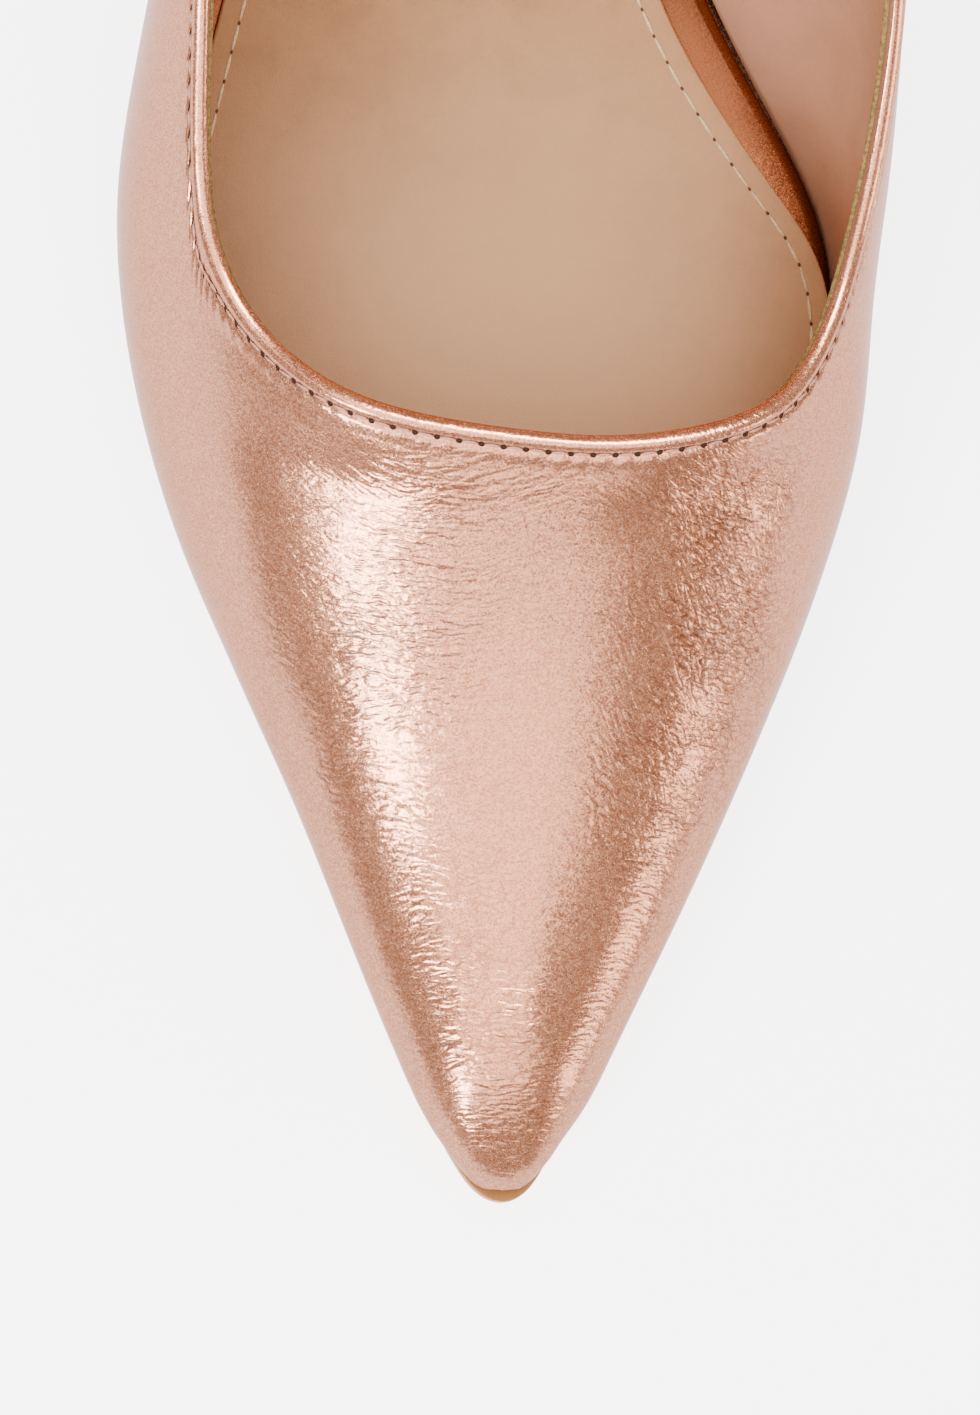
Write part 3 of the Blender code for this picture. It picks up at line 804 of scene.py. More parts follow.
@dataclass(frozen=True)
class Foil:
    """Foiled leather: metal flakes of two tones under a thin gloss. Sizes are in millimetres."""

    name: str = "wrapped_foil_leather"
    colour: Colour = (0.68, 0.30, 0.175)
    light: Colour = (0.81, 0.40, 0.26)
    dark: Colour = (0.57, 0.21, 0.11)
    edge: Colour = (0.85, 0.65, 0.55)
    roughness: float = 0.29
    metallic: float = 0.94
    gloss: float = 0.2
    gloss_roughness: float = 0.2
    gloss_ior: float = 1.5
    flake: float = 0.15
    grain: float = 0.34
    uneven: float = 0.08

    def start(self) -> tuple[Graph, bpy.types.NodeSocket, Term, bpy.types.NodeSocket, Term]:
        """Starts the finish with what all foil shares.

        Returns:
            Its graph, its place, its grain, its flaked colour and its uneven roughness.
        """
        graph = Graph(self.name, self.colour, self.roughness, self.metallic, Coat_Weight=self.gloss,
                      Coat_Roughness=self.gloss_roughness, Coat_IOR=self.gloss_ior,
                      Specular_Tint=(*self.edge, 1.0))
        place = graph.place()
        fine = graph.noise(place, self.grain)
        flakes = graph.shade_of_cells(place, self.flake)
        rough = fine * self.uneven + flakes * self.uneven
        return graph, place, fine, graph.mix(flakes, self.dark, self.light), rough


@dataclass(frozen=True)
class RoseGoldLeather(Foil):
    """The upper's foiled leather, finely crinkled where it was pulled, with stitch holes along its edges.

    It reads three fields of its piece: pattern (girth, station, crinkle), lines (along the crinkles, across
    them, how much a second set crosses them) and seam (run along the edge, distance from it, 1 where it is
    sewn).
    """

    name: str = "rose_gold_leather"
    colour: Colour = (0.70, 0.31, 0.18)
    light: Colour = (0.83, 0.42, 0.275)
    dark: Colour = (0.57, 0.225, 0.125)
    # Painted shade: leather turned in over the bead is painted in this darker, duller tone.
    inside: Colour = (0.42, 0.22, 0.14)
    # Colour of the painted shade in the crease valleys.
    deep: Colour = (0.33, 0.13, 0.07)
    # Painted shade in the stitch holes, nearly black.
    hole: Colour = (0.05, 0.02, 0.014)
    roughness: float = 0.235
    metallic: float = 0.95
    pitch: float = 2.3
    seam: float = 1.85
    hole_long: float = 0.32
    hole_wide: float = 0.25
    hole_deep: float = 0.30
    pull_high: float = 0.10
    pull_wide: float = 1.3
    pucker: float = 1.1
    grain_high: float = 0.005
    facet: float = 0.18
    facet_high: float = 0.09
    facet_drop: float = 0.05
    walls: tuple[float, float] = (26.0, 44.0)      # girths over which the facets get lower
    patch: float = 5.0
    patch_step: tuple[float, float] = (0.30, 0.60)
    patch_share: float = 0.45                      # of the crinkle, which comes and goes
    first: Creases = Creases(0.62, 0.27, 0.0, 0.040, (-0.02, 0.40), 0.14, 0.7)
    other: Creases = Creases(0.80, 0.28, 56.0, 0.034, (-0.02, 0.36), 0.10, 0.5)
    pulls: Creases = Creases(1.15, 0.22, 5.0, 0.065, (0.0, 0.22))
    # Most painted shade in the crease valleys.
    most_valley_shade: float = 0.65
    slow_warp: tuple[float, float] = (9.0, 1.1)
    quick_warp: tuple[float, float] = (1.7, 0.30)
    hole_step: tuple[float, float] = (1.3, 0.5)    # squared distances, in half sizes of the hole
    hole_rough: float = 0.4
    hole_dull: float = 0.9
    inside_dull: float = 0.7
    pull_in: float = 0.5                           # from the seam to the middle of its pull
    pucker_share: float = 0.5

    def make(self) -> bpy.types.Material:
        """Builds the material.

        Returns:
            The material.
        """
        graph, place, fine, foil, rough = self.start()
        girth, _, crinkle = graph.parts(graph.field("pattern"))
        along, over, crossed = graph.parts(graph.field("lines"))
        flow = graph.node("CombineXYZ", X=along, Y=over).outputs[0]
        bent = graph.warped(graph.warped(flow, *self.slow_warp), *self.quick_warp)
        first, other = (graph.cells(creases.lay(graph, bent), creases.size)
                        for creases in (self.first, self.other))
        pulls = abs(graph.noise(self.pulls.lay(graph, bent), self.pulls.size) - 0.5)
        patches = graph.noise(flow, self.patch).smooth(*self.patch_step)
        strong = crinkle * (patches * self.patch_share + (1 - self.patch_share))
        wrinkles = (first.smooth(*self.first.step) * self.first.high
                    + other.smooth(*self.other.step) * crossed * self.other.high)
        ridges = pulls.smooth(*self.pulls.step) * self.pulls.high
        glints = graph.facets(place, self.facet) * (
            self.facet_high - abs(girth).smooth(*self.walls) * self.facet_drop)
        run, edge, sewn = graph.parts(graph.field("seam"))
        stitch = run.within(self.pitch)
        # The stitch holes: sunk by the bump, and painted nearly black, duller and rougher, as the shade in
        # them.
        spot = ((stitch / self.hole_long) ** 2.0 + ((edge - self.seam) / self.hole_wide) ** 2.0).smooth(
            *self.hole_step) * sewn
        puckers = stitch.smooth(0.0, self.pitch / 2) * self.pucker_share + graph.noise(place, self.pucker)
        pull = edge.near(self.seam + self.pull_in, self.pull_wide) * puckers * sewn
        height = (wrinkles + ridges) * strong + fine * self.grain_high + glints
        graph.relief(height - spot * self.hole_deep + pull * self.pull_high)
        # Painted shade: the crease valleys are painted darker, towards the deep tone, as the shade in them.
        valley_shade = (first.smooth(self.first.valley, 0.0) * self.first.dark
                   + other.smooth(self.other.valley, 0.0) * crossed * self.other.dark) * strong
        foil = graph.mix(valley_shade.math("MULTIPLY", self.most_valley_shade, clamp=True), foil, self.deep)
        # Painted shade: the leather turned in under the bead is painted darker, towards the inside tone,
        # and made less metallic.
        shaded_turn_in = 1.0 - sewn
        graph.feed("Base Color", graph.mix(spot, graph.mix(shaded_turn_in, foil, self.inside), self.hole))
        graph.feed("Roughness", rough + spot * self.hole_rough + (self.roughness - self.uneven))
        graph.feed("Metallic", self.metallic - spot * self.hole_dull - shaded_turn_in * self.inside_dull)
        graph.feed("Coat Weight", self.gloss - spot * self.gloss)
        return graph.material


@dataclass(frozen=True)
class PlainFoil(Foil):
    """The same foiled leather on small and wrapped pieces, with an even crinkle."""

    crinkle: float = 0.6
    glint: float = 0.09
    facet: float = 0.22
    grain_high: float = 0.006
    patch: float = 8.0
    pebble: float = 0.72
    pebble_high: float = 0.035
    pebble_step: tuple[float, float] = (0.0, 0.26)
    pull: float = 1.7
    pull_high: float = 0.06
    pull_step: tuple[float, float] = (0.0, 0.25)
    patch_step: tuple[float, float] = (0.3, 0.65)
    slow_warp: tuple[float, float] = (6.0, 1.2)
    quick_warp: tuple[float, float] = (1.6, 0.3)
    # Painted shade in the valleys between the pebbles: how dark, and how much.
    shade: float = 0.4
    valley_shade_share: float = 0.4

    def make(self) -> bpy.types.Material:
        """Builds the material.

        Returns:
            The material.
        """
        graph, place, fine, foil, rough = self.start()
        bent = graph.warped(graph.warped(place, *self.slow_warp), *self.quick_warp)
        pebbles = graph.cells(bent, self.pebble).smooth(*self.pebble_step)
        pulls = abs(graph.noise(bent, self.pull) - 0.5).smooth(*self.pull_step)
        strong = graph.noise(place, self.patch).smooth(*self.patch_step) * self.crinkle
        creases = (pebbles * self.pebble_high + pulls * self.pull_high) * strong
        graph.relief(creases + fine * self.grain_high + graph.facets(place, self.facet) * self.glint)
        # Painted shade: the valleys between the pebbles are painted darker where the leather is crinkled.
        deep = tuple(channel * self.shade for channel in self.colour)
        graph.feed("Base Color", graph.mix((1.0 - pebbles) * strong * self.valley_shade_share, foil, deep))
        graph.feed("Roughness", rough + (self.roughness - self.uneven))
        return graph.material


@dataclass(frozen=True)
class LiningLeather:
    """Matte tan leather with a faint grain and soft stains; it can be painted paler round one place, as a
    painted pool of light.
    """

    name: str
    colour: Colour
    stain: Colour
    roughness: float = 0.62
    gloss: float = 0.35
    stain_size: float = 7.0
    speck: float = 0.5
    pore: float = 0.42
    grain_high: float = 0.012
    # Painted pool of light: how strongly the colour turns to a pale tone round one place (side, station),
    # the reach over which it fades, and the pale tone.
    painted_light: float = 0.0
    painted_light_place: tuple[float, float] = (4.0, -32.0)
    painted_light_reach: tuple[float, float] = (46.0, 4.0)
    painted_light_tone: Colour = (0.93, 0.58, 0.325)
    stain_step: tuple[float, float] = (0.35, 0.72)
    stain_share: float = 0.55
    speck_step: tuple[float, float] = (0.45, 0.8)
    speck_share: float = 0.25
    speck_part: float = 1.5            # of the grain's height
    pore_warp: tuple[float, float] = (1.2, 0.25)
    pore_step: tuple[float, float] = (0.0, 0.22)
    uneven: float = 0.14

    def make(self) -> bpy.types.Material:
        """Builds the material.

        Returns:
            The material.
        """
        graph = Graph(self.name, self.colour, self.roughness, Specular_IOR_Level=self.gloss)
        place = graph.place()
        cloud = graph.noise(place, self.stain_size, 4.0, 0.6).smooth(*self.stain_step)
        speck = graph.noise(place, self.speck, 3.0)
        pores = graph.cells(graph.warped(place, *self.pore_warp), self.pore).smooth(*self.pore_step)
        stained = cloud * self.stain_share + speck.smooth(*self.speck_step) * self.speck_share
        tone = graph.mix(stained, self.colour, self.stain)
        # Painted light: paler round one place, a pool of light painted on the sock.
        if self.painted_light:
            side, ahead, _ = graph.parts(place)
            lit_side, lit_ahead = self.painted_light_place
            reach = ((side - lit_side) ** 2.0 + (ahead - lit_ahead) ** 2.0) ** 0.5
            tone = graph.mix(reach.smooth(*self.painted_light_reach) * self.painted_light, tone, self.painted_light_tone)
        graph.feed("Base Color", tone)
        graph.feed("Roughness", speck * self.uneven + self.roughness - self.uneven / 2)
        graph.relief(pores * self.grain_high + speck * self.grain_high * self.speck_part)
        return graph.material


@dataclass(frozen=True)
class SoleLeather:
    """Waxed tan sole with faint scratches along it."""

    name: str = "tan_sole"
    colour: Colour = (0.47, 0.235, 0.10)
    dark: Colour = (0.30, 0.13, 0.05)
    roughness: float = 0.42
    gloss: float = 0.12
    cloud: float = 14.0
    scratch: float = 0.5
    scratch_drawn: float = 0.06
    scratch_high: float = 0.012
    grain: float = 0.3
    grain_high: float = 0.01
    cloud_step: tuple[float, float] = (0.3, 0.75)
    cloud_share: float = 0.5
    scratch_step: tuple[float, float] = (0.55, 0.8)
    scratch_share: float = 0.3
    uneven: float = 0.2

    def make(self) -> bpy.types.Material:
        """Builds the material.

        Returns:
            The material.
        """
        graph = Graph(self.name, self.colour, self.roughness, Specular_IOR_Level=self.gloss)
        place = graph.place()
        cloud = graph.noise(place, self.cloud, 3.0).smooth(*self.cloud_step)
        lines = graph.noise(graph.scaled(place, (1.0, self.scratch_drawn, 1.0)), self.scratch)
        share = cloud * self.cloud_share + lines.smooth(*self.scratch_step) * self.scratch_share
        graph.feed("Base Color", graph.mix(share, self.colour, self.dark))
        graph.feed("Roughness", lines * self.uneven + self.roughness - self.uneven / 2)
        graph.relief(lines * self.scratch_high + graph.noise(place, self.grain) * self.grain_high)
        return graph.material


@dataclass(frozen=True)
class PlainFinish:
    """A simple finish with a fine uneven surface, for thread, rubber, cut edges and metal."""

    name: str
    colour: Colour
    roughness: float
    metallic: float = 0.0
    grain: float = 0.25
    grain_high: float = 0.01
    shade: float = 0.8
    shade_step: tuple[float, float] = (0.3, 0.7)
    uneven: float = 0.12

    def make(self) -> bpy.types.Material:
        """Builds the material.

        Returns:
            The material.
        """
        graph = Graph(self.name, self.colour, self.roughness, self.metallic)
        fine = graph.noise(graph.place(), self.grain)
        dark = tuple(channel * self.shade for channel in self.colour)
        graph.feed("Base Color", graph.mix(fine.smooth(*self.shade_step), dark, self.colour))
        graph.feed("Roughness", fine * self.uneven + self.roughness - self.uneven / 2)
        graph.relief(fine * self.grain_high)
        return graph.material


class Wardrobe:
    """All finishes of the shoe, made once."""

    def __init__(self) -> None:
        """Builds the materials."""
        self.foil = RoseGoldLeather().make()
        self.wrap = PlainFoil().make()
        # Painted shade: the insole's wrapping is the same rose-gold foil, painted much darker for the shade
        # it lies in under the upper.
        self.insole = PlainFoil("insole_foil_painted_shade",
                                colour=(0.26, 0.095, 0.045), light=(0.28, 0.105, 0.05),
                                dark=(0.24, 0.085, 0.04), edge=(0.6, 0.36, 0.26), roughness=0.27,
                                crinkle=0.1, glint=0.035, gloss=0.06).make()
        self.lining = LiningLeather("pink_tan_lining", (0.58, 0.31, 0.195), (0.50, 0.255, 0.155), 0.55,
                                    stain_size=11.0).make()
        # The sock has a painted pool of light, paler round one place.
        self.sock = LiningLeather("tan_sock", (0.525, 0.285, 0.142), (0.42, 0.22, 0.105), painted_light=0.88).make()
        self.sole = SoleLeather().make()
        self.raw_edge = PlainFinish("raw_lining_edge", (0.42, 0.26, 0.09), 0.75, grain=0.35,
                                    grain_high=0.06, shade=0.45).make()
        self.thread = PlainFinish("pink_thread", (0.62, 0.36, 0.28), 0.45, 0.35, shade=0.7).make()
        self.pale_thread = PlainFinish("pale_thread", (0.93, 0.72, 0.46), 0.7, shade=0.75).make()
        # Painted shade for the dots at the sock's stitch holes.
        self.painted_hole_shade = PlainFinish("stitch_hole_shade", (0.16, 0.08, 0.045), 0.8).make()
        self.rubber = PlainFinish("dark_top_piece", (0.09, 0.05, 0.04), 0.5, grain_high=0.02).make()
        self.metal = PlainFinish("pale_gold_metal", (0.86, 0.60, 0.44), 0.2, 1.0, grain_high=0.003,
                                 shade=0.94).make()


# ---- Upper ----


@dataclass(frozen=True)
class Fold:
    """A soft trough or ridge in the pattern: its middle, its direction, its half sizes and its height."""

    back: float
    girth: float
    turn: float
    long: float
    wide: float
    high: float

    def height(self, back: Array, girth: Array) -> Array:
        """Height that the fold adds at places of the pattern.

        Args:
            back: Stations.
            girth: Girths.

        Returns:
            Heights, in the same shape.
        """
        ahead, aside = back - self.back, girth - self.girth
        turn = math.radians(self.turn)
        along = ahead * math.cos(turn) + aside * math.sin(turn)
        across = aside * math.cos(turn) - ahead * math.sin(turn)
        return self.high * np.exp(-(along / self.long) ** 2 - (across / self.wide) ** 2)


@dataclass
class Upper:
    """Vamp and quarters: foiled leather wrapped over a beaded edge, and a lining inside it."""

    last: Last
    topline: Table = Table("back girth", (
        (158, -76.0), (146, -68.0), (133, -58.0), (120, -50.6), (106, -45.2), (96, -41.6),
        (87.6, -35.2), (81.1, -26.0), (77.0, -15.4), (75.1, -4.0), (74.7, 6.0), (76.4, 15.6),
        (80.3, 24.6), (87.0, 32.2), (96, 38.8), (106, 42.8), (120, 48.2), (133, 55.0), (146, 65.4),
        (158, 74.0),
    ))
    wing_edge: Table = Table("back up", ((139, 0.0), (150, 4.0), (157, 13.0), (162, 26.0)))
    wing_fade: float = 0.14
    wing_rows: float = 0.7
    toe_crowding: float = 1.4
    wall: float = 1.8
    seam: float = 1.85
    pitch: float = 2.3
    thread: float = 0.16
    thread_long: float = 0.70          # share of the pitch
    thread_proud: float = 0.45         # share of the radius
    thread_short: float = 8.0          # run without thread at the two ends together
    seam_dip: float = -0.17
    columns: int = 640
    low_rows: int = 58
    lining_columns: int = 300
    lining_rows: int = 30
    lining_depths: tuple[float, float] = (-2.1, -1.5)
    lining_up: float = 0.3
    raw_faces: int = 3
    facing_grid: tuple[int, int] = (301, 49)
    bottom_round: float = 0.5
    bottom_turns: tuple[float, ...] = (0, 25, 50, 75)
    margin: tuple[float, ...] = (3.0, 1.2)
    leather_depths: tuple[float, float] = (-1.7, 0.3)
    unsewn: float = 9.0
    # Path over the beaded edge: distance from the edge, minus on the inner side, and offset outwards.
    bead: Table = Table("path offset", (
        (3.4, 0.0), (2.7, 0.03), (2.3, 0.0), (2.05, -0.09), (1.85, -0.17), (1.68, -0.12), (1.5, 0.02),
        (1.22, 0.14), (0.9, 0.16), (0.62, 0.06), (0.34, -0.18), (0.12, -0.52), (0.0, -0.9), (-0.14, -1.22),
        (-0.45, -1.5), (-0.9, -1.62), (-1.6, -1.66),
    ))
    lining_edge: Table = Table("path offset", (
        (0.62, -1.5), (0.60, -1.72), (0.62, -1.94), (0.75, -2.06), (1.1, -2.08), (1.8, -1.98), (2.6, -1.9),
    ))
    folds: tuple[Fold, ...] = (
        Fold(77, -22, -66, 9, 3.4, 0.85), Fold(76, 20, 66, 10, 3.4, 0.95), Fold(18, 0.5, 0, 12, 3.6, 0.3),
        Fold(71, -24, -68, 9, 3.0, -0.5), Fold(69, 17, 70, 9, 3.0, -0.5), Fold(5, 0.5, 0, 9, 5, -0.8),
        Fold(58, -34, 0, 12, 7, 0.5), Fold(72, 36, 0, 9, 7, -0.4), Fold(7, 9, 0, 5, 4, -0.4),
        Fold(0, 0, 0, 2.6, 16, 0.7),
    )
    crinkles: tuple[Fold, ...] = (
        Fold(57, -17, 14, 19, 6.5, 1.15), Fold(40, -12, 10, 14, 6, 0.6), Fold(58, 20, -8, 19, 8, 1.9),
        Fold(25, -6, 12, 14, 5.5, 0.75), Fold(12, 1, 0, 11, 8, 1.15), Fold(36, 13, -10, 15, 6, 1.1),
        Fold(70, 0, 90, 24, 2.4, 0.45), Fold(70, 24, 50, 10, 5, 0.5), Fold(58, -29, 10, 26, 3.5, 0.45),
    )
    calm: float = 0.07
    most_crinkled: float = 2.2
    # Crinkles run in arcs round a station and girth on each shoulder, and straight over the toe.
    outer_arcs: tuple[float, float] = (102.0, -10.0)
    inner_arcs: tuple[float, float] = (98.0, 24.0)
    toe_lines: float = 95.0
    toe_blend: tuple[float, float] = (36.0, 5.0)
    side_blend: tuple[float, float] = (4.0, 3.0)

    def __post_init__(self) -> None:
        """Works out the edge curves, and the directions and reaches of an even grid."""
        self.edge = even_curve(self.topline.points())
        self.wing = even_curve(self.wing_edge.points())
        self.edge_shares = np.linspace(0, 1, 2001)
        self.edge_run = run_along(self.on_last(self.edge(self.edge_shares)))
        self.facing = self.even_facing()
        self.reach = self.even_reaches()

    def on_last(self, pattern: Array) -> Array:
        """Places on the outer face of places in the pattern."""
        return self.last.surface(pattern[..., 0], pattern[..., 1])

    def turn_at(self, run: Array) -> Array:
        """Turns of columns at runs along the topline."""
        return 2 * np.interp(run, self.edge_run, self.edge_shares)[:, None] - 1

    def wing_place(self, side: Side, share: Array) -> Array:
        """Rear edge of a wing in the pattern, from the bottom edge (0) to the topline (1).

        Args:
            side: The side of the foot.
            share: Shares of the way up.

        Returns:
            Stations and girths, with one more axis.
        """
        curved = self.wing(np.clip(share / self.wing_rows, 0, 1))
        girth = self.last.half_girth(curved[..., 0], side) - side.value * curved[..., 1]
        low = np.stack((curved[..., 0], girth), axis=-1)
        corner_back, corner_up = self.wing_edge.rows[-1]
        corner = np.array((corner_back, self.last.half_girth(corner_back, side) - side.value * corner_up))
        top = np.array(self.topline.rows[0 if side is Side.LATERAL else -1], float)
        rise = np.clip((share - self.wing_rows) / (1 - self.wing_rows), 0, 1)[..., None]
        return np.where(share[..., None] < self.wing_rows, low, corner + (top - corner) * rise)

    def pattern(self, turn: Array, share: Array) -> Array:
        """Places in the pattern.

        Args:
            turn: From -1 at the outer wing's rear edge to 1 at the inner one, in one column.
            share: From 0 at the bottom edge to 1 at the topline, in a grid.

        Returns:
            Grid of stations and girths.
        """
        top = self.edge((turn + 1) / 2)
        result = np.empty((*share.shape, 2))
        for side in Side:
            rows = (turn[:, 0] < 0) if side is Side.LATERAL else (turn[:, 0] >= 0)
            here, shares = turn[rows], share[rows]
            back = self.wing_edge.rows[0][0] * np.abs(here) ** self.toe_crowding
            low = np.stack((back, self.last.half_girth(back, side)), axis=-1)
            place = low + (top[rows] - low) * shares[..., None]
            start, end = self.wing_place(side, np.array((0.0, 1.0)))
            chord = start + (end - start) * shares[..., None]
            fade = np.clip(1 - (1 - np.abs(here)) / self.wing_fade, 0, None)[..., None] ** 2
            result[rows] = place + (self.wing_place(side, shares) - chord) * fade
        return result

    def turns(self, ends: Array, count: int) -> tuple[Array, Array]:
        """Columns between the wings, with chosen distances at both rear edges.

        Args:
            ends: Signed distances from a rear edge, falling; minus is on the inner side.
            count: Columns between them.

        Returns:
            The columns' turns, and their signed distances from the nearest rear edge.
        """
        length = self.edge_run[-1]
        first = ends[::-1]
        middle = np.linspace(ends[0], length - ends[0], count)[1:-1]
        run = np.concatenate((np.abs(first), middle, length - np.abs(ends)))
        rear = np.concatenate((first, np.minimum(middle, length - middle), ends))
        return self.turn_at(run), rear

    def even_reaches(self) -> tuple[Array, Array]:
        """Reaches of even columns from wing to wing.

        Returns:
            Millimetres across the edge for a whole share, at the topline and at the bottom edge.
        """
        turn = np.linspace(-1, 1, 801)[:, None]
        near = 0.02
        shares = np.broadcast_to((0.0, near, 1 - near, 1.0), (len(turn), 4))
        places = self.on_last(self.pattern(turn, shares))
        along = unit(np.gradient(places[:, 3], axis=0))
        climb = (places[:, 3] - places[:, 2]) / near
        straight = climb - along * np.sum(climb * along, axis=1, keepdims=True)
        low = np.linalg.norm(places[:, 1] - places[:, 0], axis=1) / near
        return np.linalg.norm(straight, axis=1), low

    def reaches(self, turn: Array) -> tuple[Array, Array]:
        """Millimetres across the edge for a whole share, at the topline and at the bottom edge."""
        even = np.linspace(-1, 1, len(self.reach[0]))
        return tuple(np.interp(turn, even, reach) for reach in self.reach)

    def grid(self, turn: Array, share: Array) -> tuple[Array, Array, Array]:
        """Pattern, places and outward directions over a grid."""
        pattern = self.pattern(turn, share)
        return pattern, self.on_last(pattern), self.outward(turn, share)

    def outward(self, turn: Array, share: Array) -> Array:
        """Outward directions over a grid, between those of a coarser and even one.

        Args:
            turn: The columns.
            share: The grid's shares of the way up.

        Returns:
            Grid of directions.
        """
        columns, rows = self.facing.shape[:2]
        x = np.broadcast_to((turn + 1) / 2 * (columns - 1), share.shape)
        y = np.clip(share, 0, 1) * (rows - 1)
        i = np.clip(x.astype(int), 0, columns - 2)
        j = np.clip(y.astype(int), 0, rows - 2)
        x, y = (x - i)[..., None], (y - j)[..., None]
        near = self.facing[i, j] * (1 - y) + self.facing[i, j + 1] * y
        far = self.facing[i + 1, j] * (1 - y) + self.facing[i + 1, j + 1] * y
        return unit(near * (1 - x) + far * x)

    def even_facing(self) -> Array:
        """Outward directions over an even grid, from wing to wing and from bottom edge to topline.

        Returns:
            Grid of directions.
        """
        columns, rows = self.facing_grid
        turn = np.linspace(-1, 1, columns)[:, None]
        share = np.broadcast_to(np.linspace(0, 1, rows), self.facing_grid)
        places = self.on_last(self.pattern(turn, share))
        return unit(np.cross(np.gradient(places, axis=0), np.gradient(places, axis=1)))

    @staticmethod
    def heights(folds: Sequence[Fold], pattern: Array, start: float = 0.0) -> Array:
        """A start and the heights of some folds over the pattern, added up."""
        return sum((fold.height(pattern[..., 0], pattern[..., 1]) for fold in folds), start)

    def crinkle(self, pattern: Array) -> Array:
        """How crinkled the leather is over the pattern."""
        return np.clip(self.heights(self.crinkles, pattern, self.calm), 0, self.most_crinkled)

    def crinkle_lines(self, pattern: Array) -> Array:
        """Where each place lies along the crinkles and across them, and how far a second set crosses them.

        Args:
            pattern: Grid of stations and girths.

        Returns:
            Grid of the three numbers.
        """
        back, girth = pattern[..., 0], pattern[..., 1]
        toe_end, toe_soft = self.toe_blend
        toe = 1 / (1 + np.exp((back - toe_end) / toe_soft))
        side_start, side_soft = self.side_blend
        inner = 1 / (1 + np.exp(-(girth - side_start) / side_soft))
        outer_arcs, inner_arcs = (-np.hypot(girth - centre_girth, back - centre_back)
                                  for centre_back, centre_girth in (self.outer_arcs, self.inner_arcs))
        arcs = outer_arcs * (1 - inner) + inner_arcs * inner
        over = arcs * (1 - toe) + (back - self.toe_lines) * toe
        crossed = 0.25 + 0.75 * inner * (1 - toe)
        return np.stack((girth, over, crossed), axis=-1)

    def leather(self) -> bpy.types.Object:
        """The outer leather, turned in over the topline, round the wings and under the bottom edge.

        Returns:
            The piece.
        """
        path, offset = self.bead.points().T
        turn, rear = self.turns(path, self.columns)
        top_reach, low_reach = self.reaches(turn)
        radius, margin, under = self.bottom_round, np.array(self.margin), len(self.margin)
        corner = np.radians(self.bottom_turns)
        low_offset = np.concatenate((-radius - margin, -radius * (1 - np.sin(corner))))
        low_share = np.concatenate((np.zeros(under), radius * (1 - np.cos(corner)))) / low_reach
        start, end = radius / low_reach, 1 - path[0] / top_reach
        middle = start + (end - start) * (np.arange(self.low_rows) / self.low_rows)
        share = np.concatenate((low_share, middle, 1 - np.abs(path) / top_reach), axis=1)
        pattern, places, outward = self.grid(turn, share)
        outward[:, :under + 1] = unit(outward[:, :under + 1] * (1, 1, 0))
        row_offset = np.concatenate((low_offset, np.zeros(self.low_rows), offset))
        depth = row_offset + np.interp(rear, path[::-1], offset[::-1])[:, None]
        deepest, highest = self.leather_depths
        depth = np.clip(depth, deepest - margin[0], highest)
        depth[:, under:] = np.maximum(depth[:, under:], deepest)
        depth += self.heights(self.folds, pattern)
        places = places + outward * depth[..., None]
        fields = {
            "pattern": np.stack((pattern[..., 1], pattern[..., 0], self.crinkle(pattern)), axis=-1),
            "lines": self.crinkle_lines(pattern),
            "seam": self.seam_field(turn, rear, share, path, places),
        }
        return skin("upper_leather", places, fields)

    def seam_field(self, turn: Array, rear: Array, share: Array, path: Array, places: Array) -> Array:
        """What the stitch holes follow: run along the nearest edge, distance from it, 1 where it is sewn.

        Args:
            turn: The columns.
            rear: Their signed distances from the nearest rear edge.
            share: The grid's shares of the way up.
            path: Signed distances from the topline of the last rows.
            places: The grid's places.

        Returns:
            Grid of the three numbers.
        """
        top_reach, _ = self.reaches(turn)
        run = np.interp((turn + 1) / 2, self.edge_shares, self.edge_run)
        steps = np.linalg.norm(np.diff(places, axis=1), axis=2)
        climb = np.concatenate((np.zeros((len(steps), 1)), np.cumsum(steps, axis=1)), axis=1)
        edge = np.concatenate((np.full(share.shape[1] - len(path), np.inf), path))
        high_edge = np.minimum((1 - share) * top_reach, np.abs(edge))
        rear = np.broadcast_to(rear[:, None], share.shape)
        inner = (edge < 0) | (rear < 0)
        distance = np.where(inner, self.unsewn, np.minimum(rear, high_edge))
        return np.stack((np.where(rear < high_edge, climb, run), distance, 1.0 - inner), axis=-1)

    def lining(self) -> bpy.types.Object:
        """The lining, with its cut edge just inside the bead in the second finish.

        Returns:
            The piece.
        """
        path, offset = self.lining_edge.points().T
        turn, rear = self.turns(path[::-1], self.lining_columns)
        top_reach, low_reach = self.reaches(turn)
        high_share = 1 - path / top_reach
        start, low = high_share[:, -1:], self.lining_up / low_reach
        middle = start + (low - start) * (np.arange(1, self.lining_rows + 1) / self.lining_rows)
        share = np.concatenate((high_share, middle), axis=1)
        row_offset = np.concatenate((offset, np.full(self.lining_rows, -self.wall)))
        pattern, places, outward = self.grid(turn, share)
        by_rear = np.interp(rear, path, offset) + self.wall
        by_rear[rear > path[-1]] = 0.0
        depth = np.clip(row_offset + by_rear[:, None], *self.lining_depths)
        depth = depth + self.heights(self.folds, pattern)
        piece = skin("upper_lining", places + outward * depth[..., None])
        columns, raw = len(turn) - 1, self.raw_faces
        j, i = np.divmod(np.arange(len(piece.data.polygons)), columns)
        outer = (j < raw) | (i < raw) | (i >= columns - raw)
        piece.data.polygons.foreach_set("material_index", outer.astype(int))
        return piece

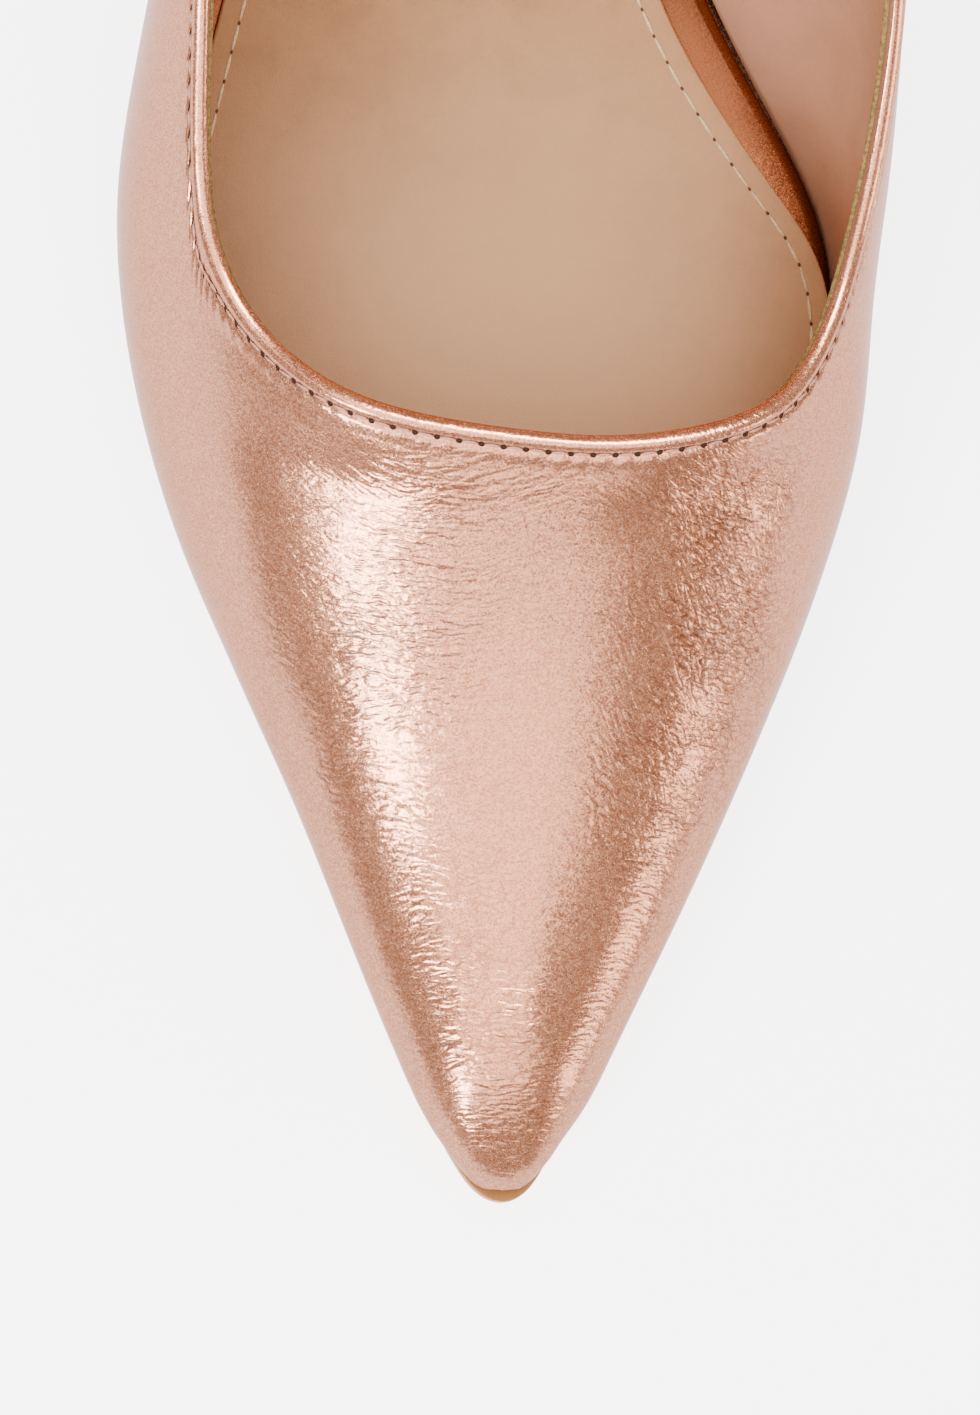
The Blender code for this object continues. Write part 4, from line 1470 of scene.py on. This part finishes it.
    def stitches(self) -> bpy.types.Object:
        """The thread along the topline.

        Returns:
            The piece.
        """
        count = int((self.edge_run[-1] - self.thread_short) / self.pitch)
        turn = self.turn_at(self.pitch * np.arange(2, count + 2))
        top_reach, _ = self.reaches(turn)
        pattern, places, outward = self.grid(turn, 1 - self.seam / top_reach)
        ahead = np.gradient(places[:, 0], axis=0)
        lift = self.thread * self.thread_proud + self.seam_dip + self.heights(self.folds, pattern)
        return stitch_row("upper_stitches", places[:, 0] + outward[:, 0] * lift, ahead, outward[:, 0],
                          self.pitch * self.thread_long, self.thread)

    def build(self, wardrobe: Wardrobe) -> None:
        """Makes and dresses the upper's pieces.

        Args:
            wardrobe: The finishes.
        """
        dress(self.leather(), "rose_gold_leather", wardrobe.foil, nodes=("upper",))
        dress(self.lining(), "tan_lining", wardrobe.lining, wardrobe.raw_edge)
        dress(self.stitches(), "rose_gold_leather", wardrobe.thread)


# ---- Bottom and heel ----


@dataclass(frozen=True)
class Slab:
    """A bottom piece with rounded edges.

    Args:
        edge: Distances out from the last's bottom edge.
        start: First station.
        end: Last station.
        layer: Height of its underside over the sole line.
        thick: Its thickness.
        low_round: Radius of its lower edges.
        high_round: Radius of its upper edges.
        across: Faces across it.
    """

    edge: Table
    start: float
    end: float
    layer: float
    thick: float
    low_round: float
    high_round: float
    across: int = 16

    def profile(self) -> list[tuple[float, float, float]]:
        """Outline of half its cross section, from the lower middle to the upper one.

        Returns:
            Rows of inset, share of the way to the middle, and height.
        """
        quarter = np.radians(np.linspace(0, 90, 6))
        flat = np.linspace(0, 1, self.across // 2 + 1)[1:]
        low = [(self.low_round, share, 0.0) for share in np.linspace(1, 0, self.across // 2 + 1)[:-1]]
        low += [(self.low_round * (1 - math.sin(angle)), 0.0, self.low_round * (1 - math.cos(angle)))
                for angle in quarter]
        high = [(self.high_round * (1 - math.cos(angle)), 0.0,
                 self.thick - self.high_round * (1 - math.sin(angle))) for angle in quarter]
        return low + high + [(self.high_round, share, self.thick) for share in flat]


@dataclass
class Bottom:
    """Outsole, wrapped insole and sewn sock, each a slab over the sole line."""

    last: Last
    sole: Slab = Slab(Table("back lateral medial", (
        (0, 1.0, 1.0), (3, 0.2, 0.2), (10, -0.4, -0.4), (30, -0.4, -0.4), (60, -0.3, -0.3),
        (90, -0.3, -0.3), (115, -0.2, -0.2), (138, -0.2, -0.2), (160, -2.6, -2.6), (191, -3.0, -3.0),
    )), 0.0, 190.0, 0.0, 2.2, 0.5, 0.25)
    insole: Slab = Slab(Table("back lateral medial", (
        (8, -3.4, -3.4), (24, -2.7, -2.7), (60, -2.0, -2.0), (110, -1.8, -1.8), (144, -1.9, -1.9),
        (166, -0.4, -0.4), (190, -0.2, -0.2), (238, -0.2, -0.2),
    )), 8.0, 238.0, 2.5, 3.4, 1.2, 1.7)
    sock: Slab = Slab(Table("back lateral medial", (
        (12, -4.6, -4.6), (24, -3.4, -3.4), (45, -2.0, -2.0), (70, -1.6, -1.6), (90, -2.2, -1.8),
        (98, -3.2, -2.7), (107, -4.6, -4.9), (117, -5.3, -6.4), (130, -5.4, -6.8), (150, -5.0, -5.6),
        (175, -3.4, -3.5), (205, -3.2, -3.2), (238, -3.2, -3.2),
    )), 12.0, 238.0, 6.0, 1.0, 0.0, 0.35, 40)
    sock_seam: float = 2.2
    sock_seam_ends: tuple[float, float] = (20.0, 232.0)
    sock_pitch: float = 3.2
    thread_long: float = 0.88
    thread: float = 0.18
    thread_lift: float = 0.05
    # Dots of painted shade at the sock's stitch holes: their length and radius.
    hole_long: float = 0.45
    hole: float = 0.17
    steps: int = 260
    seam_steps: int = 1200
    most_inset: float = 0.9
    sharp: float = 38.0

    def outline(self, table: Table, start: float, end: float, steps: int,
                inset: float = 0.0) -> dict[Side, Array]:
        """Both sides of a bottom piece's outline.

        Args:
            table: Distances out from the last's bottom edge.
            start: First station.
            end: Last station.
            steps: Steps between them.
            inset: Further distance inwards.

        Returns:
            Rows of side and station for each side of the foot.
        """
        angles = np.linspace(float(self.last.phase(start)), float(self.last.phase(end)), steps + 1)
        backs = self.last.length / 2 * (1 - np.cos(angles))
        rows = {}
        for side in Side:
            line = np.column_stack((side.value * self.last.edge[side](backs), backs))
            ahead = np.gradient(line, axis=0)
            if start == 0:
                ahead[0] = (side.value, 0.0)
            if end == self.last.length:
                ahead[-1] = (-side.value, 0.0)
            ahead = unit(ahead)
            normal = np.column_stack((ahead[:, 1], -ahead[:, 0])) * side.value
            out = table.curve(side.name.lower())(backs) - inset
            rows[side] = line + normal * out[:, None]
        return rows

    def piece(self, name: str, slab: Slab, ends: slice) -> bpy.types.Object:
        """A closed slab.

        Args:
            name: Name of the piece.
            slab: Its sizes.
            ends: Which of its rings stay, of those with a cap at each end.

        Returns:
            The piece.
        """
        rows = self.outline(slab.edge, slab.start, slab.end, self.steps)
        left, right = rows[Side.LATERAL], rows[Side.MEDIAL]
        half = np.linalg.norm(right - left, axis=1) / 2
        profile = slab.profile()
        ring = []
        for sign, way in ((1, profile), (-1, profile[::-1])):
            for near, share, up in way:
                from_middle = (half - np.minimum(near, half * self.most_inset)) * (1 - share)
                place = (left + right) / 2 + unit(right - left + 1e-9) * (sign * from_middle)[:, None]
                ring.append(np.column_stack((place, self.last.layer_height(place[:, 1], slab.layer + up))))
        rings = with_caps(np.stack(ring, axis=1))[ends]
        return skin(name, round_trip(rings), closed=True, sharp=self.sharp)

    def sock_stitches(self) -> tuple[bpy.types.Object, bpy.types.Object]:
        """Thread round the sock, inside its cut edge, and dark dots of painted shade at the holes that it
        goes through.

        Returns:
            The thread and the dots of painted hole shade.
        """
        rows = self.outline(self.sock.edge, *self.sock_seam_ends, self.seam_steps, self.sock_seam)
        places, ahead = [], []
        for line in rows.values():
            height = self.last.layer_height(line[:, 1], self.sock.layer + self.sock.thick)
            route = np.column_stack((line, height))
            run = run_along(route)
            stops = np.arange(1, int(run[-1] / self.sock_pitch)) * self.sock_pitch
            places.append(at_runs(stops, run, route))
            ahead.append(at_runs(stops, run, unit(np.gradient(route, axis=0)) * self.sock_pitch))
        places, ahead = np.concatenate(places), np.concatenate(ahead)
        up = np.cross(unit(ahead), np.cross((0.0, 0.0, 1.0), unit(ahead)))
        thread = stitch_row("sock_stitches", places + up * self.thread_lift, ahead, up,
                            self.sock_pitch * self.thread_long, self.thread)
        # Painted shade: dark dots where the thread goes through the sock.
        holes = stitch_row("sock_hole_shadows", places + ahead * 0.5, ahead, up, self.hole_long, self.hole)
        return thread, holes

    def build(self, wardrobe: Wardrobe) -> None:
        """Makes and dresses the bottom's pieces.

        Args:
            wardrobe: The finishes.
        """
        without_first, without_last = slice(1, None), slice(None, -1)
        dress(self.piece("outsole_leather", self.sole, without_first), "tan_sole", wardrobe.sole,
              nodes=("outsole",))
        dress(self.piece("insole_cover", self.insole, without_last), "rose_gold_leather", wardrobe.insole,
              nodes=("insole",))
        dress(self.piece("sock_lining", self.sock, without_last), "tan_lining", wardrobe.sock,
              nodes=("sock",))
        thread, holes = self.sock_stitches()
        dress(thread, "tan_lining", wardrobe.pale_thread)
        dress(holes, "tan_lining", wardrobe.painted_hole_shade)


@dataclass
class Heel:
    """Leather-covered stiletto heel and its top piece."""

    bottom: Bottom
    front: float = 190.6
    stem_middle: float = 222.8
    stem_side: float = -1.5
    stem_half_long: float = 5.3
    stem_half_wide: float = 5.0
    sweep_front: float = 4.8
    sweep_back: float = 2.4
    tip: Table = Table("height inset", (
        (6.0, 0.3), (5.8, 0.25), (1.0, 0.45), (0.45, 0.55), (0.12, 0.75), (0.0, 1.0),
    ))
    gap: float = 0.3
    around: int = 44
    levels: int = 90
    level_crowding: float = 1.15
    heel_round: float = 0.8
    sharp: float = 45.0

    def rings(self) -> Array:
        """Rings from the heel's seat down to the top of its tip.

        Returns:
            Grid of places, a ring in each row.
        """
        last = self.bottom.last
        rows = self.bottom.outline(self.bottom.insole.edge, self.front, last.length, self.around)
        lateral, medial = rows[Side.LATERAL], rows[Side.MEDIAL]
        front_steps = self.around // 2
        across = np.arange(1, front_steps)[:, None] / front_steps
        seat = np.concatenate((lateral, medial[-2::-1], medial[0] + (lateral[0] - medial[0]) * across))
        wrap = 2 * self.around + 1
        turn = math.pi * (1.0 - np.arange(wrap) / (wrap - 1))
        back_line = np.column_stack((
            self.stem_side + self.stem_half_wide * np.cos(turn),
            self.stem_middle
            + self.stem_half_long * (2 * np.clip(np.sin(turn), 0, 1) ** self.heel_round - 1)))
        front_line = np.column_stack((
            self.stem_side + self.stem_half_wide * (1 - 2 * across[:, 0]),
            np.full(front_steps - 1, self.stem_middle - self.stem_half_long)))
        stem = np.concatenate((back_line, front_line))
        rearward = (seat[:, 1] - self.front) / (last.length - self.front)
        power = self.sweep_front + (self.sweep_back - self.sweep_front) * rearward
        top = last.layer_height(seat[:, 1], last.feather_high - self.gap)
        bottom = self.tip.points()[0, 0] + self.gap
        rings = []
        for level in np.linspace(0, 1, self.levels) ** self.level_crowding:
            sweep = (1 - (1 - level) ** power)[:, None]
            rings.append(np.column_stack((seat + (stem - seat) * sweep, top + (bottom - top) * level)))
        return np.array(rings)

    def tip_rings(self, last_ring: Array) -> Array:
        """Rings of the top piece under the stem.

        Args:
            last_ring: The stem's lowest ring.

        Returns:
            Grid of places, a ring in each row.
        """
        middle = np.array((self.stem_side, self.stem_middle, 0.0))
        rings = []
        for height, inset in self.tip.rows:
            ring = middle + (last_ring - middle) * (1 - inset / self.stem_half_wide)
            ring[:, 2] = height
            rings.append(ring)
        return np.array(rings)

    def build(self, wardrobe: Wardrobe) -> None:
        """Makes and dresses the heel's pieces.

        Args:
            wardrobe: The finishes.
        """
        rings = self.rings()
        tip = self.tip_rings(rings[-1])
        for name, grid, finish, slot, node in (
                ("heel_cover", rings, wardrobe.wrap, "rose_gold_leather", "heel"),
                ("heel_top_piece", tip, wardrobe.rubber, "dark_top_piece", "heel_tip")):
            piece = skin(name, round_trip(with_caps(grid)), closed=True, sharp=self.sharp)
            dress(piece, slot, finish, nodes=(node,))


# ---- Sling and buckle ----


@dataclass
class Sling:
    """Heel strap with its folded tab, keeper and buckle, laid out along the strap's middle line."""

    upper: Upper
    route: Table = Table("side back height", (
        (-28.6, 171, 74.6), (-27.4, 187, 88.8), (-23.6, 203, 101.8), (-16.4, 218, 112.6),
        (-8.4, 228.0, 118.2), (-1.4, 230.6, 120.0), (5.6, 228.0, 118.2), (13.6, 218, 112.6),
        (21.2, 203, 101.8), (25.0, 187, 88.6), (26.1, 171, 74.8),
    ))
    wide: float = 8.6
    thick: float = 2.0
    lean_back: float = 8.0
    laps: tuple[float, ...] = (146, 152, 157)
    lap_drop: float = 6.6
    wing_room: float = 0.7
    gap: float = 0.3
    tab_thick: float = 1.2
    tab_start: float = 2.0
    tab_return: float = 25.0
    bar_run: float = 40.0
    buckle_long: float = 11.0
    wire: float = 0.85
    tail_end: float = 23.5
    buckle_corner: float = 2.2
    dip: tuple[float, float] = (1.5, 7.5)
    strap_step: float = 0.6
    look: float = 0.2
    edge_round: float = 0.62
    buckle_room: float = 0.5
    prong_wire: float = 0.6
    prong_start: float = 2.2
    prong_past: float = 0.8
    keeper_run: float = 28.5
    keeper_long: float = 5.0
    keeper_thick: float = 0.8
    keeper_corner: float = 0.75
    stitch_inset: float = 1.15
    stitch_pitch: float = 2.5
    stitch_ends: tuple[float, float] = (2.5, 4.0)
    stitch_lift: float = 0.03
    thread_long: float = 0.66
    thread: float = 0.16

    def __post_init__(self) -> None:
        """Works out the strap's middle line and its lean."""
        lateral = [self.wing_lap(Side.LATERAL, back) for back in self.laps]
        medial = [self.wing_lap(Side.MEDIAL, back) for back in reversed(self.laps)]
        rows = np.array([*(place for place, _ in lateral), *self.route.points(),
                         *(place for place, _ in medial)])
        chord = run_along(rows)
        self.curves = [natural_spline(chord, axis) for axis in rows.T]
        self.length = float(chord[-1])
        leans = []
        for run, (_, normal) in ((0.0, lateral[0]), (self.length, medial[-1])):
            _, outward, up = self.upright(run)
            leans.append(math.atan2(normal @ up, normal @ outward))
        self.lean = natural_spline((0, self.length / 2, self.length),
                                   (leans[0], math.radians(self.lean_back), leans[1]))

    def wing_lap(self, side: Side, back: float) -> tuple[Array, Array]:
        """Place of the strap's middle line against the inside of a wing, and the wing's direction.

        Args:
            side: The side of the foot.
            back: The station.

        Returns:
            The place and the direction.
        """
        share = np.linspace(0, 0.5, 400) if side is Side.LATERAL else np.linspace(0.5, 1, 400)
        line = self.upper.edge(share)
        order = np.argsort(line[:, 0])
        girth = np.interp(back, line[order, 0], line[order, 1]) + side.value * self.lap_drop
        backs = np.array((back, back + 1, back))
        girths = np.array((girth, girth, girth + side.value))
        here, ahead, down = self.upper.last.surface(backs, girths)
        normal = np.cross(ahead - here, down - here)
        normal *= np.sign(normal[0]) * side.value / np.linalg.norm(normal)
        return here - normal * (self.upper.wall + self.wing_room + self.thick / 2), normal

    def middle(self, run: Array) -> Array:
        """Points of the middle line."""
        return np.stack([curve(run) for curve in self.curves], axis=-1)

    def upright(self, run: Array) -> tuple[Array, Array, Array]:
        """Directions ahead, outward and up across the strap, with no lean.

        Args:
            run: Runs along the strap.

        Returns:
            The three directions at each.
        """
        run = np.asarray(run)
        ahead = unit(self.middle(run + self.look) - self.middle(run - self.look))
        up = unit(np.array((0.0, 0.0, 1.0)) - ahead * ahead[..., 2:])
        return ahead, np.cross(up, ahead), up

    def facing(self, run: Array) -> tuple[Array, Array, Array]:
        """Directions ahead, off the strap's outer face and up across it, with its lean.

        Args:
            run: Runs along the strap.

        Returns:
            The three directions at each.
        """
        ahead, outward, up = self.upright(run)
        lean = np.asarray(self.lean(run))[..., None]
        return (ahead, outward * np.cos(lean) + up * np.sin(lean),
                up * np.cos(lean) - outward * np.sin(lean))

    def place(self, run: Array, out: Array, across: Array) -> Array:
        """Points at a run, so far outward and so far up across the strap."""
        _, off, over = self.facing(run)
        return self.middle(run) + off * np.asarray(out)[..., None] + over * np.asarray(across)[..., None]

    def ribbon(self, line: Array, thick: float) -> tuple[Array, Array]:
        """A strap with rounded edges along a line.

        Args:
            line: Rows of run and outward distance.
            thick: Thickness of the strap.

        Returns:
            Rings of places, and for each its run, distance across and distance outward.
        """
        ahead = unit(np.gradient(line, axis=0))
        deep = thick / 2
        radius = deep * self.edge_round
        out, across = round_loop(even_corners(deep - radius, self.wide / 2 - radius), radius, 5)[0].T
        run = line[:, :1] - ahead[:, 1:] * out
        away = line[:, 1:] + ahead[:, :1] * out
        over = np.broadcast_to(across, run.shape)
        side = np.broadcast_to(out / deep, run.shape)
        return self.place(run, away, over), np.stack((run, over, side), axis=-1)

    def strap_line(self) -> Array:
        """Run and outward distance of the strap: free end, dip behind the buckle, inner wing.

        Returns:
            Rows of run and outward distance.
        """
        over = self.tab_thick / 2 + self.gap + self.thick / 2
        start, end = self.bar_run + self.dip[0], self.bar_run + self.dip[1]
        run = np.arange(self.tail_end, self.length - 1.0, self.strap_step)
        share = np.clip((run - start) / (end - start), 0, 1)
        return np.column_stack((run, over * (0.5 + 0.5 * np.cos(np.pi * share))))

    def tab_line(self) -> Array:
        """Run and outward distance of the tab: out of the wing, round the bar, back under itself.

        Returns:
            Rows of run and outward distance.
        """
        radius = self.wire + self.gap + self.tab_thick / 2
        under = -(self.tab_thick + self.gap)
        angles = np.radians(np.linspace(90, -100, 11))
        out_leg = [(run, 0.0) for run in np.linspace(self.tab_start, self.bar_run - 0.5, 12)]
        turn = [(self.bar_run + radius * math.cos(a), radius * (math.sin(a) - 1)) for a in angles]
        back_leg = [(self.bar_run - 3.0, under * 1.75), (self.bar_run - 5.5, under * 1.15),
                    (self.bar_run - 8.0, under), (self.tab_return, under)]
        return even_curve(np.array(out_leg + turn + back_leg))(np.linspace(0, 1, 160))

    def strap(self, name: str, line: Array, thick: float) -> bpy.types.Object:
        """A closed strap along a line of run and outward distance."""
        rings, field = (round_trip(with_caps(grid)) for grid in self.ribbon(line, thick))
        return skin(name, rings, {"strap": field}, closed=True)

    def edge_stitches(self, name: str, start: float, end: float, out: float) -> bpy.types.Object:
        """Thread along both edges of a strap's outer face.

        Args:
            name: Name of the piece.
            start: First run.
            end: Last run.
            out: Distance outwards from the strap's middle.

        Returns:
            The piece.
        """
        runs = np.arange(start, end, self.stitch_pitch)
        over = np.interp(runs, *self.strap_line().T) + out
        inset = self.wide / 2 - self.stitch_inset
        places = [self.place(runs, over, np.full(len(runs), across)) for across in (-inset, inset)]
        ahead, outward, _ = self.facing(runs)
        return stitch_row(name, np.concatenate(places), np.tile(ahead, (2, 1)), np.tile(outward, (2, 1)),
                          self.stitch_pitch * self.thread_long, self.thread)

    def tube(self, name: str, path: Array, radius: float, cyclic: bool,
             tip: float = 1.0) -> bpy.types.Object:
        """A round wire along points, its end narrowed to a share of its radius.

        Args:
            name: Name of the piece.
            path: The points.
            radius: Radius of the wire.
            cyclic: Whether the wire closes on itself.
            tip: The share.

        Returns:
            The piece.
        """
        ahead = unit(np.gradient(path, axis=0))
        if cyclic:
            ahead[0] = ahead[-1] = unit(path[1] - path[-2])
        aside = unit(np.cross(ahead, np.gradient(ahead, axis=0) + (0.013, 0.031, 0.027)))
        if cyclic:
            middle = path[:-1].mean(axis=0)
            normal = unit(np.cross(path[0] - middle, path[len(path) // 4] - middle))
            aside = np.broadcast_to(normal, path.shape)
        other = np.cross(ahead, aside)
        angles = np.radians(np.linspace(0, 360, 25))
        size = radius * np.interp(np.linspace(0, 1, len(path)), (0, 0.7, 1), (1, 1, tip))[:, None, None]
        rings = path[:, None] + size * (aside[:, None] * np.cos(angles)[:, None]
                                        + other[:, None] * np.sin(angles)[:, None])
        return skin(name, rings if cyclic else with_caps(rings), closed=True)

    def frame(self) -> bpy.types.Object:
        """The buckle's rounded frame.

        Returns:
            The piece.
        """
        middle = self.wide / 2 + self.buckle_room + self.wire - self.buckle_corner
        far = self.buckle_long - self.buckle_corner
        rail_out = self.thick / 2 + self.gap + self.wire
        bar_out = -(self.wire + self.gap + self.tab_thick / 2)
        near = self.buckle_corner
        corners = ((far, middle), (near, middle), (near, -middle), (far, -middle))
        loop, _ = round_loop(corners, self.buckle_corner, 12)
        run, across = np.concatenate((loop, loop[:1])).T
        out = bar_out + (rail_out - bar_out) * run / self.buckle_long
        return self.tube("buckle_ring", self.place(self.bar_run + run, out, across), self.wire, True)

    def prong(self) -> bpy.types.Object:
        """The buckle's pin, from the bar through the strap to the far rail.

        Returns:
            The piece.
        """
        rest = self.tab_thick / 2 + self.gap + self.thick + self.gap + self.prong_wire
        tip_out = self.thick / 2 + self.gap + 2 * self.wire + self.gap + self.prong_wire
        rows = np.array(((self.prong_start, rest), (self.buckle_long * 0.6, rest + 0.5),
                         (self.buckle_long + self.prong_past, tip_out)))
        line = even_curve(rows)(np.linspace(0, 1, 30))
        path = self.place(self.bar_run + line[:, 0], line[:, 1], np.zeros(30))
        return self.tube("buckle_pin", path, self.prong_wire, False, 0.7)

    def keeper(self) -> bpy.types.Object:
        """The loop that holds the strap's free end.

        Returns:
            The piece.
        """
        low = -(self.tab_thick * 1.5 + self.gap * 2)
        high = self.tab_thick / 2 + self.gap * 2 + self.thick
        deep = (high - low + self.keeper_thick) / 2
        wide = self.wide / 2 + self.gap + self.keeper_thick / 2
        corner = self.keeper_corner
        loop, outward = (np.concatenate((grid, grid[:1])) for grid in round_loop(
            even_corners(deep - corner, wide - corner), corner, 7))
        half_long, half_thick = self.keeper_long / 2, self.keeper_thick / 2
        radius = half_thick * 0.8
        section, _ = round_loop(even_corners(half_long - radius, half_thick - radius), radius, 5)
        rings = []
        for run, off in section:
            out, across = (loop + outward * off).T
            runs = np.full(len(loop), self.keeper_run + half_long + run)
            rings.append(self.place(runs, (low + high) / 2 + out, across))
        return skin("keeper_leather", np.array([*rings, rings[0]]), closed=True)

    def build(self, wardrobe: Wardrobe) -> None:
        """Makes and dresses the strap, tab, keeper and buckle.

        Args:
            wardrobe: The finishes.
        """
        slot, metal = "rose_gold_leather", "pale_gold_metal"
        face = self.thick / 2 + self.stitch_lift
        start, end = self.tail_end + self.stitch_ends[0], self.length - self.stitch_ends[1]
        dress(self.strap("sling_leather", self.strap_line(), self.thick), slot, wardrobe.wrap,
              nodes=("sling_strap",))
        dress(self.edge_stitches("sling_stitches", start, end, face), slot, wardrobe.thread)
        dress(self.strap("tab_leather", self.tab_line(), self.tab_thick), slot, wardrobe.wrap,
              nodes=("buckle_tab",))
        dress(self.keeper(), slot, wardrobe.wrap, nodes=("strap_keeper",))
        dress(self.frame(), metal, wardrobe.metal, nodes=("buckle_frame",))
        dress(self.prong(), metal, wardrobe.metal, nodes=("buckle_prong",))


# ---- Studio ----


@dataclass(frozen=True)
class Softbox:
    """A rectangular light: where it is, where it faces, its size and how bright its face is."""

    name: str
    place: tuple[float, float, float]
    aim: tuple[float, float, float]
    wide: float
    high: float
    radiance: float
    colour: Colour = (1.0, 1.0, 1.0)
    gloss_only: bool = False

    def build(self) -> None:
        """Makes the light. One for gloss only gives highlights and leaves matte surfaces as they are."""
        light = bpy.data.lights.new(self.name, "AREA")
        light.shape = "RECTANGLE"
        light.size = self.wide
        light.size_y = self.high
        light.energy = self.radiance * math.pi * self.wide * self.high
        light.color = self.colour
        lamp = new_object(self.name, light)
        lamp.location = self.place
        away = Vector(self.aim) - Vector(self.place)
        lamp.rotation_euler = away.to_track_quat("-Z", "Y").to_euler()
        lamp.visible_camera = False
        lamp.visible_diffuse = not self.gloss_only


@dataclass
class Studio:
    """Pale floor, soft lights, and a camera that looks down on the toe."""

    aim: tuple[float, float, float] = (-1.0, 50.0, 15.0)
    lean_side: float = 6.0
    lean_back: float = 7.0
    distance: float = 1150.0
    lens: float = 281.5
    low_sky: float = 1.75
    high_sky: float = 0.56
    low_colour: Colour = (0.93, 1.01, 1.12)
    high_colour: Colour = (1.03, 0.975, 0.92)
    sweep: float = 0.2
    floor_half: float = 8.0
    floor_glow: float = 2.35
    lights: tuple[Softbox, ...] = (
        Softbox("overhead_light", (-0.17, -0.62, 1.5), (-0.17, -0.62, 0.0), 1.45, 2.3, 2.05,
                (0.97, 1.0, 1.04)),
        Softbox("left_light", (-0.69, -0.855, 0.757), (0.0, -0.06, 0.02), 0.37, 0.44, 18.0,
                (0.9, 1.0, 1.08)),
        Softbox("right_light", (1.0, -0.64, 0.33), (0.0, -0.06, 0.02), 0.42, 0.5, 3.9),
        Softbox("rim_light", (0.22, 0.52, 1.3), (0.0, -0.02, 0.03), 0.5, 0.42, 19.0, gloss_only=True),
    )

    def floor(self) -> None:
        """A wide pale floor. Gloss doesn't show it, so that it can be brighter than its reflection."""
        builder = bmesh.new()
        bmesh.ops.create_grid(builder, x_segments=1, y_segments=1, size=self.floor_half)
        floor = new_object("floor", new_mesh("floor", builder))
        graph = Graph("pale_floor", (0.86,) * 3, 0.9, Emission_Strength=self.floor_glow,
                      Emission_Color=(1.0,) * 4, Specular_IOR_Level=0.1)
        cloud = graph.noise(graph.place(), 90.0, 2.0)
        graph.feed("Base Color", graph.mix(cloud, (0.85,) * 3, (0.87,) * 3))
        floor.data.materials.append(graph.material)
        floor.visible_glossy = False

    def sky(self) -> None:
        """Even light all round, brighter from below the horizon as from a pale sweep."""
        world = bpy.data.worlds.new("studio")
        world.use_nodes = True
        nodes = Nodes(world.node_tree)
        *_, height = nodes.parts(nodes.node("TexCoord").outputs["Generated"])
        low = height.smooth(0.0, -self.sweep)
        background = world.node_tree.nodes["Background"].inputs
        nodes.put(background["Color"], nodes.mix(low, self.high_colour, self.low_colour))
        nodes.put(background["Strength"], low * (self.low_sky - self.high_sky) + self.high_sky)
        bpy.context.scene.world = world

    def camera(self) -> None:
        """The camera, above the toe and leaning a little to the front and the outer side."""
        aim = Vector(to_world(self.aim))
        slant = math.tan(math.radians(self.lean_side)), math.tan(math.radians(self.lean_back))
        away = Vector((-slant[0], -slant[1], 1.0)).normalized()
        lens = bpy.data.cameras.new("camera")
        lens.lens = self.lens
        lens.clip_start = 0.05
        lens.clip_end = 50.0
        camera = new_object("camera", lens)
        camera.location = aim + away * self.distance * MM
        right = Vector((0.0, 1.0, 0.0)).cross(away).normalized()
        turn = Matrix((right, away.cross(right), away)).transposed()
        camera.rotation_euler = turn.to_euler()
        bpy.context.scene.camera = camera

    def build(self) -> None:
        """Makes floor, world, lights and camera."""
        self.floor()
        self.sky()
        for light in self.lights:
            light.build()
        view = bpy.context.scene.view_settings
        view.view_transform = "AgX"
        view.look = "AgX - Medium High Contrast"
        self.camera()


def main() -> None:
    """Builds the studio and the shoe."""
    logging.basicConfig(level=logging.INFO, format="%(message)s")
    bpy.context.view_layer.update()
    Studio().build()
    wardrobe = Wardrobe()
    last = Last()
    upper = Upper(last)
    upper.build(wardrobe)
    bottom = Bottom(last)
    bottom.build(wardrobe)
    Heel(bottom).build(wardrobe)
    Sling(upper).build(wardrobe)


if __name__ == "__main__":
    main()
